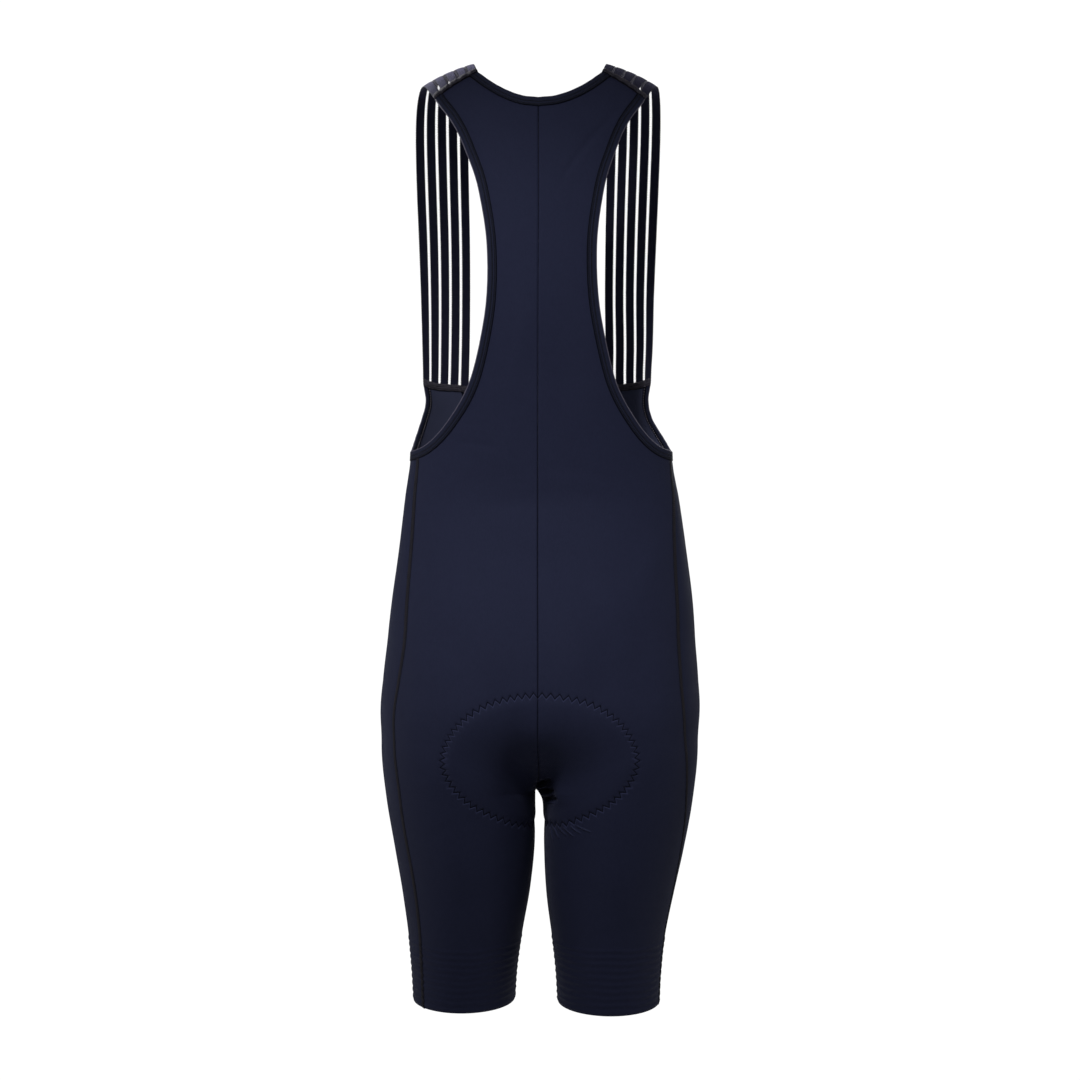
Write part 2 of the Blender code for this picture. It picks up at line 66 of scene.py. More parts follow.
THIGH_RINGS = (
    # height, centre_x, centre_y, half_width, half_depth
    (-0.600, 0.0770, 0.004, 0.0730, 0.094),
    (-0.660, 0.0800, 0.005, 0.0772, 0.101),
    (-0.715, 0.0785, 0.004, 0.0740, 0.094),
    (-0.765, 0.0748, 0.002, 0.0692, 0.086),
    (-0.810, 0.0722, 0.000, 0.0632, 0.077),
    (-0.855, 0.0718, -0.002, 0.0562, 0.069),
    (-0.885, 0.0722, -0.003, 0.0527, 0.064),
    (-0.930, 0.0724, -0.004, 0.0500, 0.060),
)
THIGH_TOP, THIGH_RISE = -0.640, 0.100
BLEND, BETWEEN = 0.030, 0.003
SIDE_SEAMS = (
    # height, left_degrees, right_degrees behind the side
    (-0.370, 25.0, 14.0),
    (-0.470, 30.0, 30.0),
    (-0.560, 34.0, 34.0),
    (-0.640, 33.0, 34.5),
    (-0.700, 38.5, 31.0),
    (-0.780, 43.0, 22.0),
    (-0.920, 41.0, 14.0),
)
ARMHOLE = (
    # turn_degrees from centre back, height
    (61.8, -0.0322),
    (49.7, -0.0595),
    (41.9, -0.0900),
    (35.1, -0.1270),
    (31.4, -0.1800),
    (34.6, -0.2400),
    (46.2, -0.3020),
    (59.2, -0.3410),
    (71.7, -0.3657),
    (84.0, -0.3715),
    (96.0, -0.3680),
    (107.5, -0.3540),
    (114.5, -0.3350),
    (117.5, -0.3140),
    (116.8, -0.2930),
)
BACK_NECK = (
    # x, height
    (0.0000, -0.0376),
    (0.0150, -0.0358),
    (0.0290, -0.0305),
    (0.0460, -0.0196),
    (0.0610, -0.0054),
)
FRONT_NECK = (
    # x, height
    (0.0000, -0.3720),
    (0.0220, -0.3685),
    (0.0450, -0.3540),
    (0.0630, -0.3310),
    (0.0750, -0.3020),
)
NECK_COLUMNS, SHOULDER_COLUMNS = 6, 5
COLUMNS = NECK_COLUMNS + SHOULDER_COLUMNS
ARM_ROWS = {"back": 13, "front": 5}
WAIST_ROWS, HIP_ROWS, CROTCH_ROWS, INSEAM_ROWS, THIGH_ROWS = 3, 6, 10, 4, 4
FACE = {"back": 1.0, "front": -1.0}
DOWN = (0.0, 0.0, -1.0)
OTHER_SIDE = np.array([-1.0, 1.0, 1.0])
MIRROR = {"left": np.ones(3), "right": OTHER_SIDE}
EDGE_POINTS, STRIDES, SHOOT_ROUNDS, SHOOT_SHARE = 400, 24, 60, 0.85
RELAX_ROUNDS, EDGE_HOLD, SMALL_STEP = 80, 24, 1e-5
# How many finer rows each row of the plain solid gets, from the armhole to the ribs.
FINER = {
    "arm": 8, "waist": 8, "hips": 12, "inseam": 14, "thigh": 8, "ribs": 4,
    "crotch": (10, 10, 10, 10, 10, 10, 12, 22, 24, 24),
}
FINER_COLUMNS = {"back": 12, "front": 10}
CLOSE_COLUMNS = {
    # places of the columns, closer together by the middle seam
    "back": np.r_[np.linspace(0, 1.2, 30, endpoint=False), np.linspace(1.2, COLUMNS, 81)],
    "front": np.r_[np.linspace(0, 1.2, 16, endpoint=False), np.linspace(1.2, COLUMNS, 49)],
}


def unit(vectors):
    return vectors / np.linalg.norm(vectors, axis=-1, keepdims=True)


def smooth_columns(table, keys):
    """The columns of a table at some keys, on a smooth curve through its rows."""
    rows = np.array(table)
    rows = rows[np.argsort(rows[:, 0])]
    knots, values = rows[:, 0], rows[:, 1:]
    slopes = np.gradient(values, knots, axis=0)
    keys = np.clip(keys, knots[0], knots[-1])
    i = np.clip(np.searchsorted(knots, keys) - 1, 0, len(knots) - 2)
    step = (knots[i + 1] - knots[i])[..., None]
    t = (keys - knots[i])[..., None] / step
    curve = (
        (1 + 2 * t) * (1 - t) ** 2 * values[i]
        + t * (1 - t) ** 2 * step * slopes[i]
        + t * t * (3 - 2 * t) * values[i + 1]
        + t * t * (t - 1) * step * slopes[i + 1]
    )
    return np.moveaxis(curve, -1, 0)


def torso_distance(points):
    """About how far points are outside the rings of the trunk."""
    x, y, z = np.abs(points[..., 0]), points[..., 1], points[..., 2]
    half, front, back, square = smooth_columns(TORSO, z)
    depth = np.where(y < 0, front, back)
    ring = ((x / half) ** square + (np.abs(y) / depth) ** square) ** (1 / square)
    above = np.maximum(z - SHOULDER_FOOT, 0)
    below = np.maximum(SEAT_FOOT - z, 0)
    seat = (below / SEAT_DROP) ** SEAT_FULLNESS
    whole = np.sqrt(ring**2 + (above / SHOULDER_RISE) ** 2 + seat)
    reach = np.sqrt(x * x + y * y + above * above + below * below)
    return reach * (1 - 1 / np.maximum(whole, 1e-6))


def thigh_distance(points):
    """About how far points are outside the rings of the nearer thigh."""
    centre_x, centre_y, half_width, half_depth = smooth_columns(THIGH_RINGS, points[..., 2])
    x = np.sqrt(points[..., 0] ** 2 + BETWEEN**2) - centre_x
    y = points[..., 1] - centre_y
    above = np.maximum(points[..., 2] - THIGH_TOP, 0)
    whole = np.sqrt((x / half_width) ** 2 + (y / half_depth) ** 2 + (above / THIGH_RISE) ** 2)
    reach = np.sqrt(x * x + y * y + above * above)
    return reach * (1 - 1 / np.maximum(whole, 1e-6))


def figure(points):
    """About how far points are outside the worn shape, less than 0 inside it."""
    torso, thigh = torso_distance(points), thigh_distance(points)
    share = np.clip(0.5 + 0.5 * (thigh - torso) / BLEND, 0, 1)
    return thigh * (1 - share) + torso * share - BLEND * share * (1 - share)


def slope(points):
    """Which way is out of the worn shape, and how fast the distance grows there."""
    axes = np.eye(3) * SMALL_STEP
    return np.stack([figure(points + a) - figure(points - a) for a in axes], -1) / (2 * SMALL_STEP)


def outward(points):
    return unit(slope(points))


def settle(points, rounds=6):
    """Moves points that are near the worn shape onto it."""
    for _ in range(rounds):
        rise = slope(points)
        points = points - rise * (figure(points) / np.sum(rise * rise, -1))[..., None]
    return points


def shoot(start, direction):
    """The first place where a line from inside comes out of the worn shape."""
    direction = unit(np.asarray(direction, float))
    start = np.asarray(start, float)
    along = np.full(np.broadcast(start, direction).shape[:-1], 0.01)
    for _ in range(SHOOT_ROUNDS):
        along = along - SHOOT_SHARE * figure(start + along[..., None] * direction)
    return start + along[..., None] * direction


def walk(points, directions, distances):
    """Goes some distances over the cloth, straight ahead."""
    stride = (np.asarray(distances) / STRIDES)[..., None]
    for _ in range(STRIDES):
        points = settle(points + directions * stride, 2)
        up = outward(points)
        directions = unit(directions - up * np.sum(directions * up, -1)[..., None])
    return points


def travelled(line):
    """How far along a line each of its points is."""
    return np.concatenate([[0.0], np.cumsum(np.linalg.norm(np.diff(line, axis=0), axis=1))])


def at_places(line, places):
    """Points of a line at some distances along it."""
    lengths = travelled(line)
    return np.stack([np.interp(places, lengths, line[:, k]) for k in range(3)], -1)


def spaced(line, count):
    return at_places(line, np.linspace(0, travelled(line)[-1], count + 1))


def hub(heights):
    """The middle of a row of cloth: the torso's, and lower down the thigh's."""
    share = np.clip((HIPS - heights) / (HIPS - THIGH), 0, 1)
    share = share * share * (3 - 2 * share)
    centre_x, centre_y = smooth_columns(THIGH_RINGS, heights)[:2]
    return np.stack([centre_x * share, centre_y * share, heights], -1), share


def side_seam(heights, side):
    """Where the side seam is at some heights."""
    heights = np.asarray(heights, float)
    turns = smooth_columns(SIDE_SEAMS, heights)
    turn = np.radians(turns[0] if side == "left" else turns[1])
    middle, share = hub(heights)
    torso, thigh = smooth_columns(TORSO, heights), smooth_columns(THIGH_RINGS, heights)
    wide = torso[0] * (1 - share) + thigh[2] * share
    deep = torso[2] * (1 - share) + thigh[3] * share
    return shoot(middle, np.stack([np.cos(turn) * wide, np.sin(turn) * deep, 0 * heights], -1))


def level_row(height, first_turn, last_point, count):
    """A level row of points round the trunk or the thigh, up to the side seam."""
    middle = hub(np.array(height))[0]
    last_turn = math.atan2(last_point[1] - middle[1], last_point[0] - middle[0])
    turns = np.linspace(first_turn, last_turn, 8 * count + 1)
    return spaced(shoot(middle, np.stack([np.cos(turns), np.sin(turns), 0 * turns], -1)), count)


def centre_line(face, count):
    """The middle seam from the hips, round the seat or the belly, to the crotch."""
    turns = np.linspace(0, math.pi / 2, 60)
    directions = np.stack([0 * turns, face * np.cos(turns), -np.sin(turns)], -1)
    return spaced(shoot(np.array([0.0, CROTCH_Y, HIPS]), directions), count)


def inseam(count):
    """The seam inside the left thigh, from the crotch to where rows are level."""
    crotch = centre_line(1.0, CROTCH_ROWS)[-1]
    heights = crotch[2] + (THIGH - crotch[2]) * np.linspace(0, 1, count + 1)[1:] ** 1.5
    centre_x, centre_y = smooth_columns(THIGH_RINGS, heights)[:2]
    middle = np.stack([centre_x, centre_y, heights], -1)
    return np.vstack([crotch, shoot(middle, np.array([-1.0, 0.0, 0.0]))])


def armhole_edge(count):
    table = np.array(ARMHOLE)
    parts = np.linspace(0, 1, len(table))
    turns, heights = smooth_columns(np.column_stack([parts, table]), np.linspace(0, 1, 200))
    turns = np.radians(turns)
    start = np.stack([0 * heights, 0 * heights, heights], -1)
    edge = shoot(start, np.stack([np.sin(turns), np.cos(turns), 0 * turns], -1))
    return spaced(edge, count)


def neck_edge(table, face, count):
    xs = np.linspace(0, table[-1][0], 60)
    start = np.stack([xs, 0 * xs, smooth_columns(table, xs)[0]], -1)
    return spaced(shoot(start, np.array([0.0, face, 0.0])), count)


def inset(edge, width, sign, first=None, last=None):
    """An edge moved over the cloth into the piece by a band's width, cut at its ends."""
    inwards = unit(np.cross(outward(edge), np.gradient(edge, axis=0))) * sign
    steps = inwards * width
    for place, direction in ((0, first), (-1, last)):
        if direction is not None:
            direction = unit(np.asarray(direction, float))
            steps[place] = direction * width / np.dot(direction, inwards[place])
    line = settle(edge + steps)
    keep = np.ones(len(line), bool)
    for end, beside in ((0, 1), (-1, -2)):
        far = np.linalg.norm(line - line[end], axis=1) > 2 * width
        keep &= far | ((line - line[end]) @ (edge[beside] - edge[end]) >= 0)
    return line[keep]


def strap_corners():
    return [neck_edge(BACK_NECK, 1.0, 1)[-1], neck_edge(FRONT_NECK, -1.0, 1)[-1]]


def armhole_lines(side, finer):
    """The armhole's edge and the line where its band ends."""

    def both_parts(line, corner):
        """A line in even steps from the shoulder to under the arm, and on to the chest."""
        back = spaced(line[: corner + 1], ARM_ROWS["back"] * finer)
        return np.vstack([back, spaced(line[corner:], ARM_ROWS["front"] * finer)[1:]])

    line = armhole_edge(EDGE_POINTS)
    neck_back, neck_front = strap_corners()
    lowest = min(height for _, height in ARMHOLE)
    under_arm = int(np.argmin(np.linalg.norm(line - side_seam([lowest], side), axis=1)))
    edge = both_parts(line, under_arm)
    line = inset(edge, BAND_WIDTH, 1.0, neck_back - edge[0], neck_front - edge[-1])
    gap = np.linalg.norm(line - side_seam(line[:, 2], side), axis=1)
    under_arm = int(np.argmin(gap + (line[:, 2] > lowest)))
    line[under_arm] = side_seam([line[under_arm, 2]], side)[0]
    return edge, both_parts(line, under_arm)


def panel_edges(which, side, finer, columns_by):
    """A panel's row numbers and its four edges, with finer rows and columns."""
    face, arm_rows = FACE[which], ARM_ROWS[which]
    sections = (
        (arm_rows, finer["arm"]), (WAIST_ROWS, finer["waist"]), (HIP_ROWS, finer["hips"]),
        (CROTCH_ROWS, finer["crotch"]), (INSEAM_ROWS, finer["inseam"]),
        (THIGH_ROWS, finer["thigh"]), (2 * RIB_COUNT, finer["ribs"]),
    )
    keys, starts = [np.zeros(1)], [0]
    for count, by in sections:
        for row, steps in enumerate(np.broadcast_to(by, count)):
            keys.append(starts[-1] + row + np.arange(1, steps + 1) / steps)
        starts.append(starts[-1] + count)
    keys = np.concatenate(keys)
    arm, arm_inner = armhole_lines(side, finer["arm"])
    corner = arm_rows * finer["arm"] if which == "back" else ARM_ROWS["back"] * finer["arm"]
    arm_inner = arm_inner[: corner + 1] if which == "back" else arm_inner[corner:][::-1]
    shoulder_end = arm[0] if which == "back" else arm[-1]
    neck = neck_edge(BACK_NECK if which == "back" else FRONT_NECK, face, NECK_COLUMNS * columns_by)
    neck_inner = inset(neck, BAND_WIDTH, face, DOWN, shoulder_end - neck[-1])
    neck_inner = spaced(neck_inner, NECK_COLUMNS * columns_by)
    shares = np.linspace(0, 1, SHOULDER_COLUMNS * columns_by + 1)[1:, None]
    top = np.vstack([neck_inner, settle(neck_inner[-1] * (1 - shares) + arm_inner[0] * shares)])

    waist, hips, thigh = starts[2], starts[3], starts[5]
    gripper_top = HEM + RIB_COUNT * RIB_PITCH
    heights = np.interp(
        keys, [waist, hips, thigh, starts[6], starts[7]], [WAIST, HIPS, THIGH, gripper_top, HEM]
    )
    heights = np.where(keys < waist, top[0, 2] + (WAIST - top[0, 2]) * keys / waist, heights)
    axis = np.stack([0 * heights, 0 * heights, heights], -1)
    above = shoot(axis[keys <= hips], np.array([0.0, face, 0.0]))
    below = shoot(hub(heights[keys > thigh])[0], np.array([-1.0, 0.0, 0.0]))
    centre = centre_line(face, EDGE_POINTS)
    down_it = (keys[(keys > hips) & (keys <= starts[4])] - hips) / CROTCH_ROWS
    left = np.vstack([
        above, at_places(centre, down_it * travelled(centre)[-1]),
        inseam(INSEAM_ROWS * finer["inseam"])[1:], below,
    ])
    left[0] = top[0]
    under = (keys > arm_rows) & (keys < waist)
    seam_heights = heights.copy()
    drop = (keys[under] - arm_rows) / WAIST_ROWS
    seam_heights[under] = arm_inner[-1, 2] + (WAIST - arm_inner[-1, 2]) * drop
    right = np.vstack([arm_inner, side_seam(seam_heights[keys > arm_rows], side)])
    bottom = level_row(HEM, face * math.pi, right[-1], COLUMNS * columns_by)
    return keys, starts, top, bottom, left, right


def plain_panel(which, side):
    """The panel's few points, as the solid part has them, evenly spread."""
    once = dict.fromkeys(FINER, 1)
    keys, starts, top, bottom, left, right = panel_edges(which, side, once, 1)
    grid = np.zeros((len(keys), COLUMNS + 1, 3))
    grid[:, 0], grid[:, -1], grid[0], grid[-1] = left, right, top, bottom
    known = (keys == 0) | ((keys >= starts[2]) & (keys <= starts[3])) | (keys >= starts[5])
    for row in np.flatnonzero(known)[1:]:
        turn = FACE[which] * (math.pi / 2 if keys[row] <= starts[3] else math.pi)
        grid[row] = level_row(left[row, 2], turn, right[row], COLUMNS)
    rows = np.flatnonzero(known)
    across = np.linspace(0, 1, COLUMNS + 1)[None, :, None]
    for above, below in zip(rows[:-1], rows[1:]):
        inner = slice(above + 1, below)
        t = (np.arange(above + 1, below) - above)[:, None, None] / (below - above)
        body = grid[above] * (1 - t) + grid[below] * t
        body = body + (grid[inner, :1] - body[:, :1]) * (1 - across)
        body = body + (grid[inner, -1:] - body[:, -1:]) * across
        grid[inner, 1:-1] = body[:, 1:-1]
    free = np.flatnonzero(~known)
    grid[free, 1:-1] = settle(grid[free, 1:-1])
    for _ in range(RELAX_ROUNDS):
        step = np.linalg.norm(grid[free, -1] - grid[free, 0], axis=-1) / COLUMNS
        drop = np.linalg.norm(grid[free + 1] - grid[free - 1], axis=-1).mean(1) / 2
        pull = (1 / (1 + (step / drop) ** 2))[:, None, None]
        beside = (grid[free, :-2] + grid[free, 2:]) / 2
        over = (grid[free - 1, 1:-1] + grid[free + 1, 1:-1]) / 2
        grid[free, 1:-1] = settle(beside * pull + over * (1 - pull), 1)
    return grid


def fine_panel(which, side):
    """The same panel with a point every 2 mm or less, and closer by its middle seam."""
    plain = plain_panel(which, side)
    by = FINER_COLUMNS[which]
    keys, starts, top, bottom, left, right = panel_edges(which, side, FINER, by)
    columns = np.linspace(0, COLUMNS, COLUMNS * by + 1)
    r = np.clip(keys.astype(int), 0, len(plain) - 2)
    c = np.clip(columns.astype(int), 0, COLUMNS - 1)
    tr, tc = (keys - r)[:, None, None], (columns - c)[None, :, None]
    upper = plain[r][:, c] * (1 - tc) + plain[r][:, c + 1] * tc
    lower = plain[r + 1][:, c] * (1 - tc) + plain[r + 1][:, c + 1] * tc
    grid = upper * (1 - tr) + lower * tr
    u, v = (columns / COLUMNS)[None, :, None], (keys / keys[-1])[:, None, None]
    grid = grid + (left - grid[:, 0])[:, None] * (1 - u) + (right - grid[:, -1])[:, None] * u
    grid = grid + (top - grid[0])[None] * (1 - v) ** EDGE_HOLD + (bottom - grid[-1])[None] * v**EDGE_HOLD
    grid = settle(grid, 5)
    grid[:, 0], grid[:, -1], grid[0], grid[-1] = left, right, top, bottom
    places = CLOSE_COLUMNS[which] * by
    c = np.clip(places.astype(int), 0, COLUMNS * by - 1)
    t = (places - c)[None, :, None]
    return keys, starts, settle(grid[:, c] * (1 - t) + grid[:, c + 1] * t, 2)


# Soft troughs (less than 0) and ridges that the pull of the cloth leaves, each along a
# line seen from its face.
CREASES = (
    # face, start_x, start_z, end_x, end_z, half_width, height
    (1.0, 0.086, -0.366, 0.040, -0.371, 0.0022, -0.0004),
    (1.0, 0.046, -0.088, 0.008, -0.124, 0.0030, -0.0007),
    (1.0, -0.016, -0.128, -0.078, -0.040, 0.0034, -0.0008),
    (1.0, -0.026, -0.052, -0.046, -0.100, 0.0028, 0.0003),
    (1.0, 0.074, -0.432, -0.030, -0.424, 0.0095, -0.0007),
    (1.0, 0.020, -0.404, -0.082, -0.409, 0.0080, 0.0005),
    (1.0, 0.118, -0.545, 0.060, -0.585, 0.0120, -0.0007),
    (1.0, -0.112, -0.560, -0.050, -0.600, 0.0110, -0.0006),
    (1.0, 0.020, -0.862, 0.088, -0.835, 0.0100, -0.0006),
    (1.0, -0.026, -0.850, -0.092, -0.832, 0.0090, -0.0005),
    (1.0, 0.0024, -0.7003, -0.0125, -0.6885, 0.0022, -0.0050),
    (1.0, 0.0016, -0.7054, -0.0165, -0.6990, 0.0026, -0.0054),
    (1.0, -0.0006, -0.7148, -0.0192, -0.7074, 0.0025, -0.0046),
    (1.0, -0.0060, -0.7060, -0.0170, -0.7110, 0.0075, -0.0024),
    (1.0, -0.0150, -0.7320, -0.0400, -0.7460, 0.0060, 0.0010),
    (1.0, 0.004, -0.640, 0.002, -0.706, 0.0230, -0.0018),
    (1.0, 0.072, -0.590, 0.050, -0.722, 0.0210, 0.0034),
    (1.0, 0.020, -0.610, 0.026, -0.722, 0.0150, -0.0028),
    (1.0, -0.030, -0.600, -0.048, -0.690, 0.0200, 0.0016),
    (1.0, 0.100, -0.500, 0.030, -0.596, 0.0210, 0.0024),
    (1.0, 0.060, -0.462, -0.064, -0.508, 0.0180, -0.0020),
    (1.0, -0.012, -0.512, -0.052, -0.606, 0.0170, 0.0020),
    (1.0, -0.088, -0.528, -0.100, -0.640, 0.0180, -0.0020),
    (1.0, 0.112, -0.590, 0.104, -0.690, 0.0160, -0.0018),
    (1.0, -0.120, -0.450, -0.086, -0.520, 0.0160, 0.0018),
    (1.0, 0.100, -0.740, 0.058, -0.800, 0.0180, 0.0017),
    (1.0, -0.060, -0.760, -0.096, -0.830, 0.0170, 0.0017),
    (1.0, 0.010, -0.190, 0.026, -0.330, 0.0120, 0.0008),
    (1.0, -0.016, -0.230, -0.026, -0.360, 0.0115, -0.0008),
    (-1.0, 0.014, -0.664, 0.116, -0.598, 0.0062, -0.0021),
    (-1.0, 0.022, -0.646, 0.098, -0.590, 0.0068, 0.0010),
    (-1.0, 0.020, -0.690, 0.122, -0.652, 0.0070, -0.0014),
    (-1.0, -0.012, -0.668, -0.110, -0.606, 0.0068, -0.0018),
    (-1.0, -0.024, -0.652, -0.090, -0.602, 0.0060, 0.0009),
    (-1.0, -0.024, -0.698, -0.118, -0.668, 0.0064, -0.0012),
    (-1.0, 0.096, -0.486, -0.030, -0.497, 0.0090, -0.0011),
    (-1.0, 0.040, -0.462, -0.104, -0.470, 0.0080, -0.0009),
    (-1.0, 0.078, -0.436, 0.006, -0.447, 0.0064, 0.0007),
    (-1.0, 0.088, -0.400, 0.110, -0.350, 0.0060, -0.0007),
    (-1.0, -0.084, -0.404, -0.112, -0.356, 0.0064, -0.0008),
    (-1.0, 0.036, -0.800, 0.108, -0.784, 0.0090, -0.0009),
    (-1.0, -0.040, -0.812, -0.110, -0.790, 0.0096, -0.0008),
)
SEAT_PAD = (
    # along the middle seam from the crotch, half_width over the cloth
    (0.1615, 0.020),
    (0.1560, 0.044),
    (0.1420, 0.068),
    (0.122, 0.085),
    (0.100, 0.0935),
    (0.080, 0.084),
    (0.058, 0.067),
    (0.035, 0.054),
    (0.008, 0.041),
    (-0.040, 0.036),
    (-0.100, 0.042),
    (-0.140, 0.038),
    (-0.158, 0.018),
)
ZIGZAG_REACH = 0.0025
TOOTH_PITCHES = (
    # share of the way from centre back to centre front, width of one tooth
    (0.00, 0.0079),
    (0.10, 0.0074),
    (0.19, 0.0062),
    (0.27, 0.0064),
    (0.34, 0.0074),
    (0.40, 0.0094),
    (0.44, 0.0112),
    (0.50, 0.0134),
    (0.57, 0.0134),
    (0.64, 0.0080),
    (1.00, 0.0080),
)
PAD_SWELL, SWELL_START, SWELL_REACH = 0.0011, 0.004, 0.014
STITCH_DIP, STITCH_DIP_WIDTH = 0.0005, 0.0013
EDGE_DIP, EDGE_DIP_WIDTH = 0.0003, 0.0045
CREASE_BOW = 0.03
RIB_WAVER, RIB_RIPPLE = 0.0007, 0.0004
PUCKER, PUCKER_REACH, PUCKER_PITCH = 0.00016, 0.004, 0.0083
EDGE_ROLL = 0.00040


def middle_line():
    """The middle seam from the front of the pad to its back, and how far the crotch is."""
    front, back = centre_line(-1.0, 60), centre_line(1.0, 60)
    line = np.vstack([front, back[::-1][1:]])
    return line, travelled(line)[len(front) - 1]


def pad_outline():
    """Left half of the pad's edge, from centre back to centre front, and its outside."""
    line, crotch = middle_line()
    table = np.array(((0.1630, 0.0),) + SEAT_PAD + ((-0.1605, 0.0),))
    turn = np.linspace(0, math.pi, 220)
    low, high = table[-1, 0], table[0, 0]
    places = (low + high) / 2 + (high - low) / 2 * np.cos(turn)
    knots = np.arccos((table[:, 0] - (low + high) / 2) / ((high - low) / 2) * 0.999999)
    half = np.maximum(smooth_columns(np.column_stack([knots, table[:, 1]]), turn)[0], 0)
    edge = walk(at_places(line, places + crotch), np.tile([1.0, 0.0, 0.0], (220, 1)), half)
    edge = settle(spaced(edge, 700))
    ahead = unit(np.gradient(edge, axis=0))
    return edge, unit(np.cross(ahead, outward(edge)))


pad_edge, pad_outside = pad_outline()
if pad_outside[350, 0] < 0:
    pad_outside = -pad_outside
pad_travel = travelled(pad_edge)
pitches = np.interp(pad_travel / pad_travel[-1], *np.array(TOOTH_PITCHES).T)
teeth_before = np.concatenate([[0], np.cumsum(np.diff(pad_travel) / pitches[1:])])


def teeth_at(round_it):
    """How many teeth of the zigzag lie between the centre back and a place round it."""
    return np.interp(round_it, pad_travel, teeth_before)


def from_pad_edge(points):
    """How far round the pad's edge points are, and how far outside it."""
    flat = points.reshape(-1, 3)
    flat = flat * np.where(flat[:, :1] < 0, -1.0, 1.0) ** np.array([1, 0, 0])
    round_it, out = np.zeros(len(flat)), np.full(len(flat), 0.2)
    near = np.flatnonzero((flat[:, 2] < -0.50) & (flat[:, 2] > -0.80))
    for some in np.array_split(near, 24):
        gap = ((flat[some, None] - pad_edge[None]) ** 2).sum(-1)
        best = gap.argmin(1)
        step = flat[some] - pad_edge[best]
        ahead = unit(np.gradient(pad_edge, axis=0))[best]
        round_it[some] = pad_travel[best] + (step * ahead).sum(-1)
        out[some] = (step * pad_outside[best]).sum(-1)
    shape = points.shape[:-1]
    return round_it.reshape(shape), out.reshape(shape)


def ease(t):
    t = np.clip(t, 0, 1)
    return t * t * (3 - 2 * t)


def soft_form(points):
    """How far the cloth stands out from the plain worn shape: ribs, pad, creases."""
    x, y, z = points[..., 0], points[..., 1], points[..., 2]
    waver = RIB_WAVER * np.sin(x * 66 + 3 * np.where(y < 0, -1.0, 1.0))
    waver = waver + RIB_RIPPLE * np.sin(x * 171 + z * 90)
    turn = (z - HEM) / RIB_PITCH
    rib = (z + waver * ease((z - HEM) / 0.008) - HEM) / RIB_PITCH
    ribs = (0.5 - 0.5 * np.cos(2 * math.pi * rib)) ** 1.4 * RIB_HEIGHT
    out = np.where((turn > 0) & (turn < RIB_COUNT), ribs, 0)
    facing = outward(points)[..., 1]
    for face, x0, z0, x1, z1, half_width, height in CREASES:
        length = math.hypot(x1 - x0, z1 - z0)
        ux, uz = (x1 - x0) / length, (z1 - z0) / length
        along = ((x - x0) * ux + (z - z0) * uz) / length
        across = (z - z0) * ux - (x - x0) * uz + CREASE_BOW * length * np.sin(along * 4.1)
        ends = np.where((along > 0) & (along < 1), np.sin(math.pi * np.clip(along, 0, 1)), 0)
        seen = ease(facing * face * 2.2)
        out = out + height * np.exp(-((across / half_width) ** 2)) * ends * seen
    round_it, away = from_pad_edge(points)
    tooth = teeth_at(round_it)
    wave = 4 * np.abs(tooth - np.floor(tooth + 0.5)) - 1
    groove = np.exp(-(((away - ZIGZAG_REACH * wave) / STITCH_DIP_WIDTH) ** 2))
    out = out + PAD_SWELL * ease((SWELL_START - away) / SWELL_REACH) - STITCH_DIP * groove
    return out - EDGE_DIP * np.exp(-((away / EDGE_DIP_WIDTH) ** 2))


def border(rows, columns):
    """The places round a grid: along its first row, down its last column and back."""
    return np.array(
        [(0, c) for c in range(columns)]
        + [(r, columns - 1) for r in range(1, rows)]
        + [(rows - 1, c) for c in range(columns - 2, -1, -1)]
        + [(r, 0) for r in range(rows - 2, 0, -1)]
    )


def turns_outward(grid):
    """Whether a grid's rows and columns turn so that its faces look outwards."""
    r, c = grid.shape[0] // 2, grid.shape[1] // 2
    turned = np.cross(grid[r, c] - grid[r, c - 1], grid[r, c] - grid[r - 1, c])
    return np.dot(turned, outward(grid[r, c])) > 0


def trimmed(grid):
    """A grid cut half a seam's gap inside its border."""
    rows, columns = border(*grid.shape[:2]).T
    loop = grid[rows, columns]
    up = outward(loop)
    before, after = unit(loop - np.roll(loop, 1, axis=0)), unit(np.roll(loop, -1, axis=0) - loop)
    side = SEAM_GAP / 2 * (1 if turns_outward(grid) else -1)
    first, second = unit(np.cross(up, before)), unit(np.cross(up, after))
    spread = np.maximum(1 + np.sum(first * second, -1), 0.3)
    grid = grid.copy()
    grid[rows, columns] = loop + (first + second) / spread[:, None] * side
    return grid


def closed_wall(outer, inner, outwards):
    """Points and faces of a wall whose inner face has half as many points each way."""
    rows, columns = outer.shape[:2]
    top = np.arange(rows * columns).reshape(rows, columns)
    low = np.arange(inner.shape[0] * inner.shape[1]).reshape(inner.shape[:2]) + rows * columns
    faces = [np.stack([top[:-1, :-1], top[:-1, 1:], top[1:, 1:], top[1:, :-1]], -1).reshape(-1, 4)]
    faces.append(np.stack([low[:-1, :-1], low[1:, :-1], low[1:, 1:], low[:-1, 1:]], -1).reshape(-1, 4))
    rim, below = border(rows, columns), border(*inner.shape[:2])
    a = top[rim[:, 0], rim[:, 1]]
    b = low[below[:, 0], below[:, 1]]
    first, half, last = a[0::2], a[1::2], np.roll(a, -2)[0::2]
    next_b = np.roll(b, -1)
    rims = [np.stack(t, -1) for t in ((half, first, b), (last, half, next_b), (half, b, next_b))]
    faces = [f.tolist() for f in faces] + [r.tolist() for r in rims]
    faces = [face for some in faces for face in some]
    if not outwards:
        faces = [face[::-1] for face in faces]
    return np.vstack([outer.reshape(-1, 3), inner.reshape(-1, 3)]), faces


pieces = []


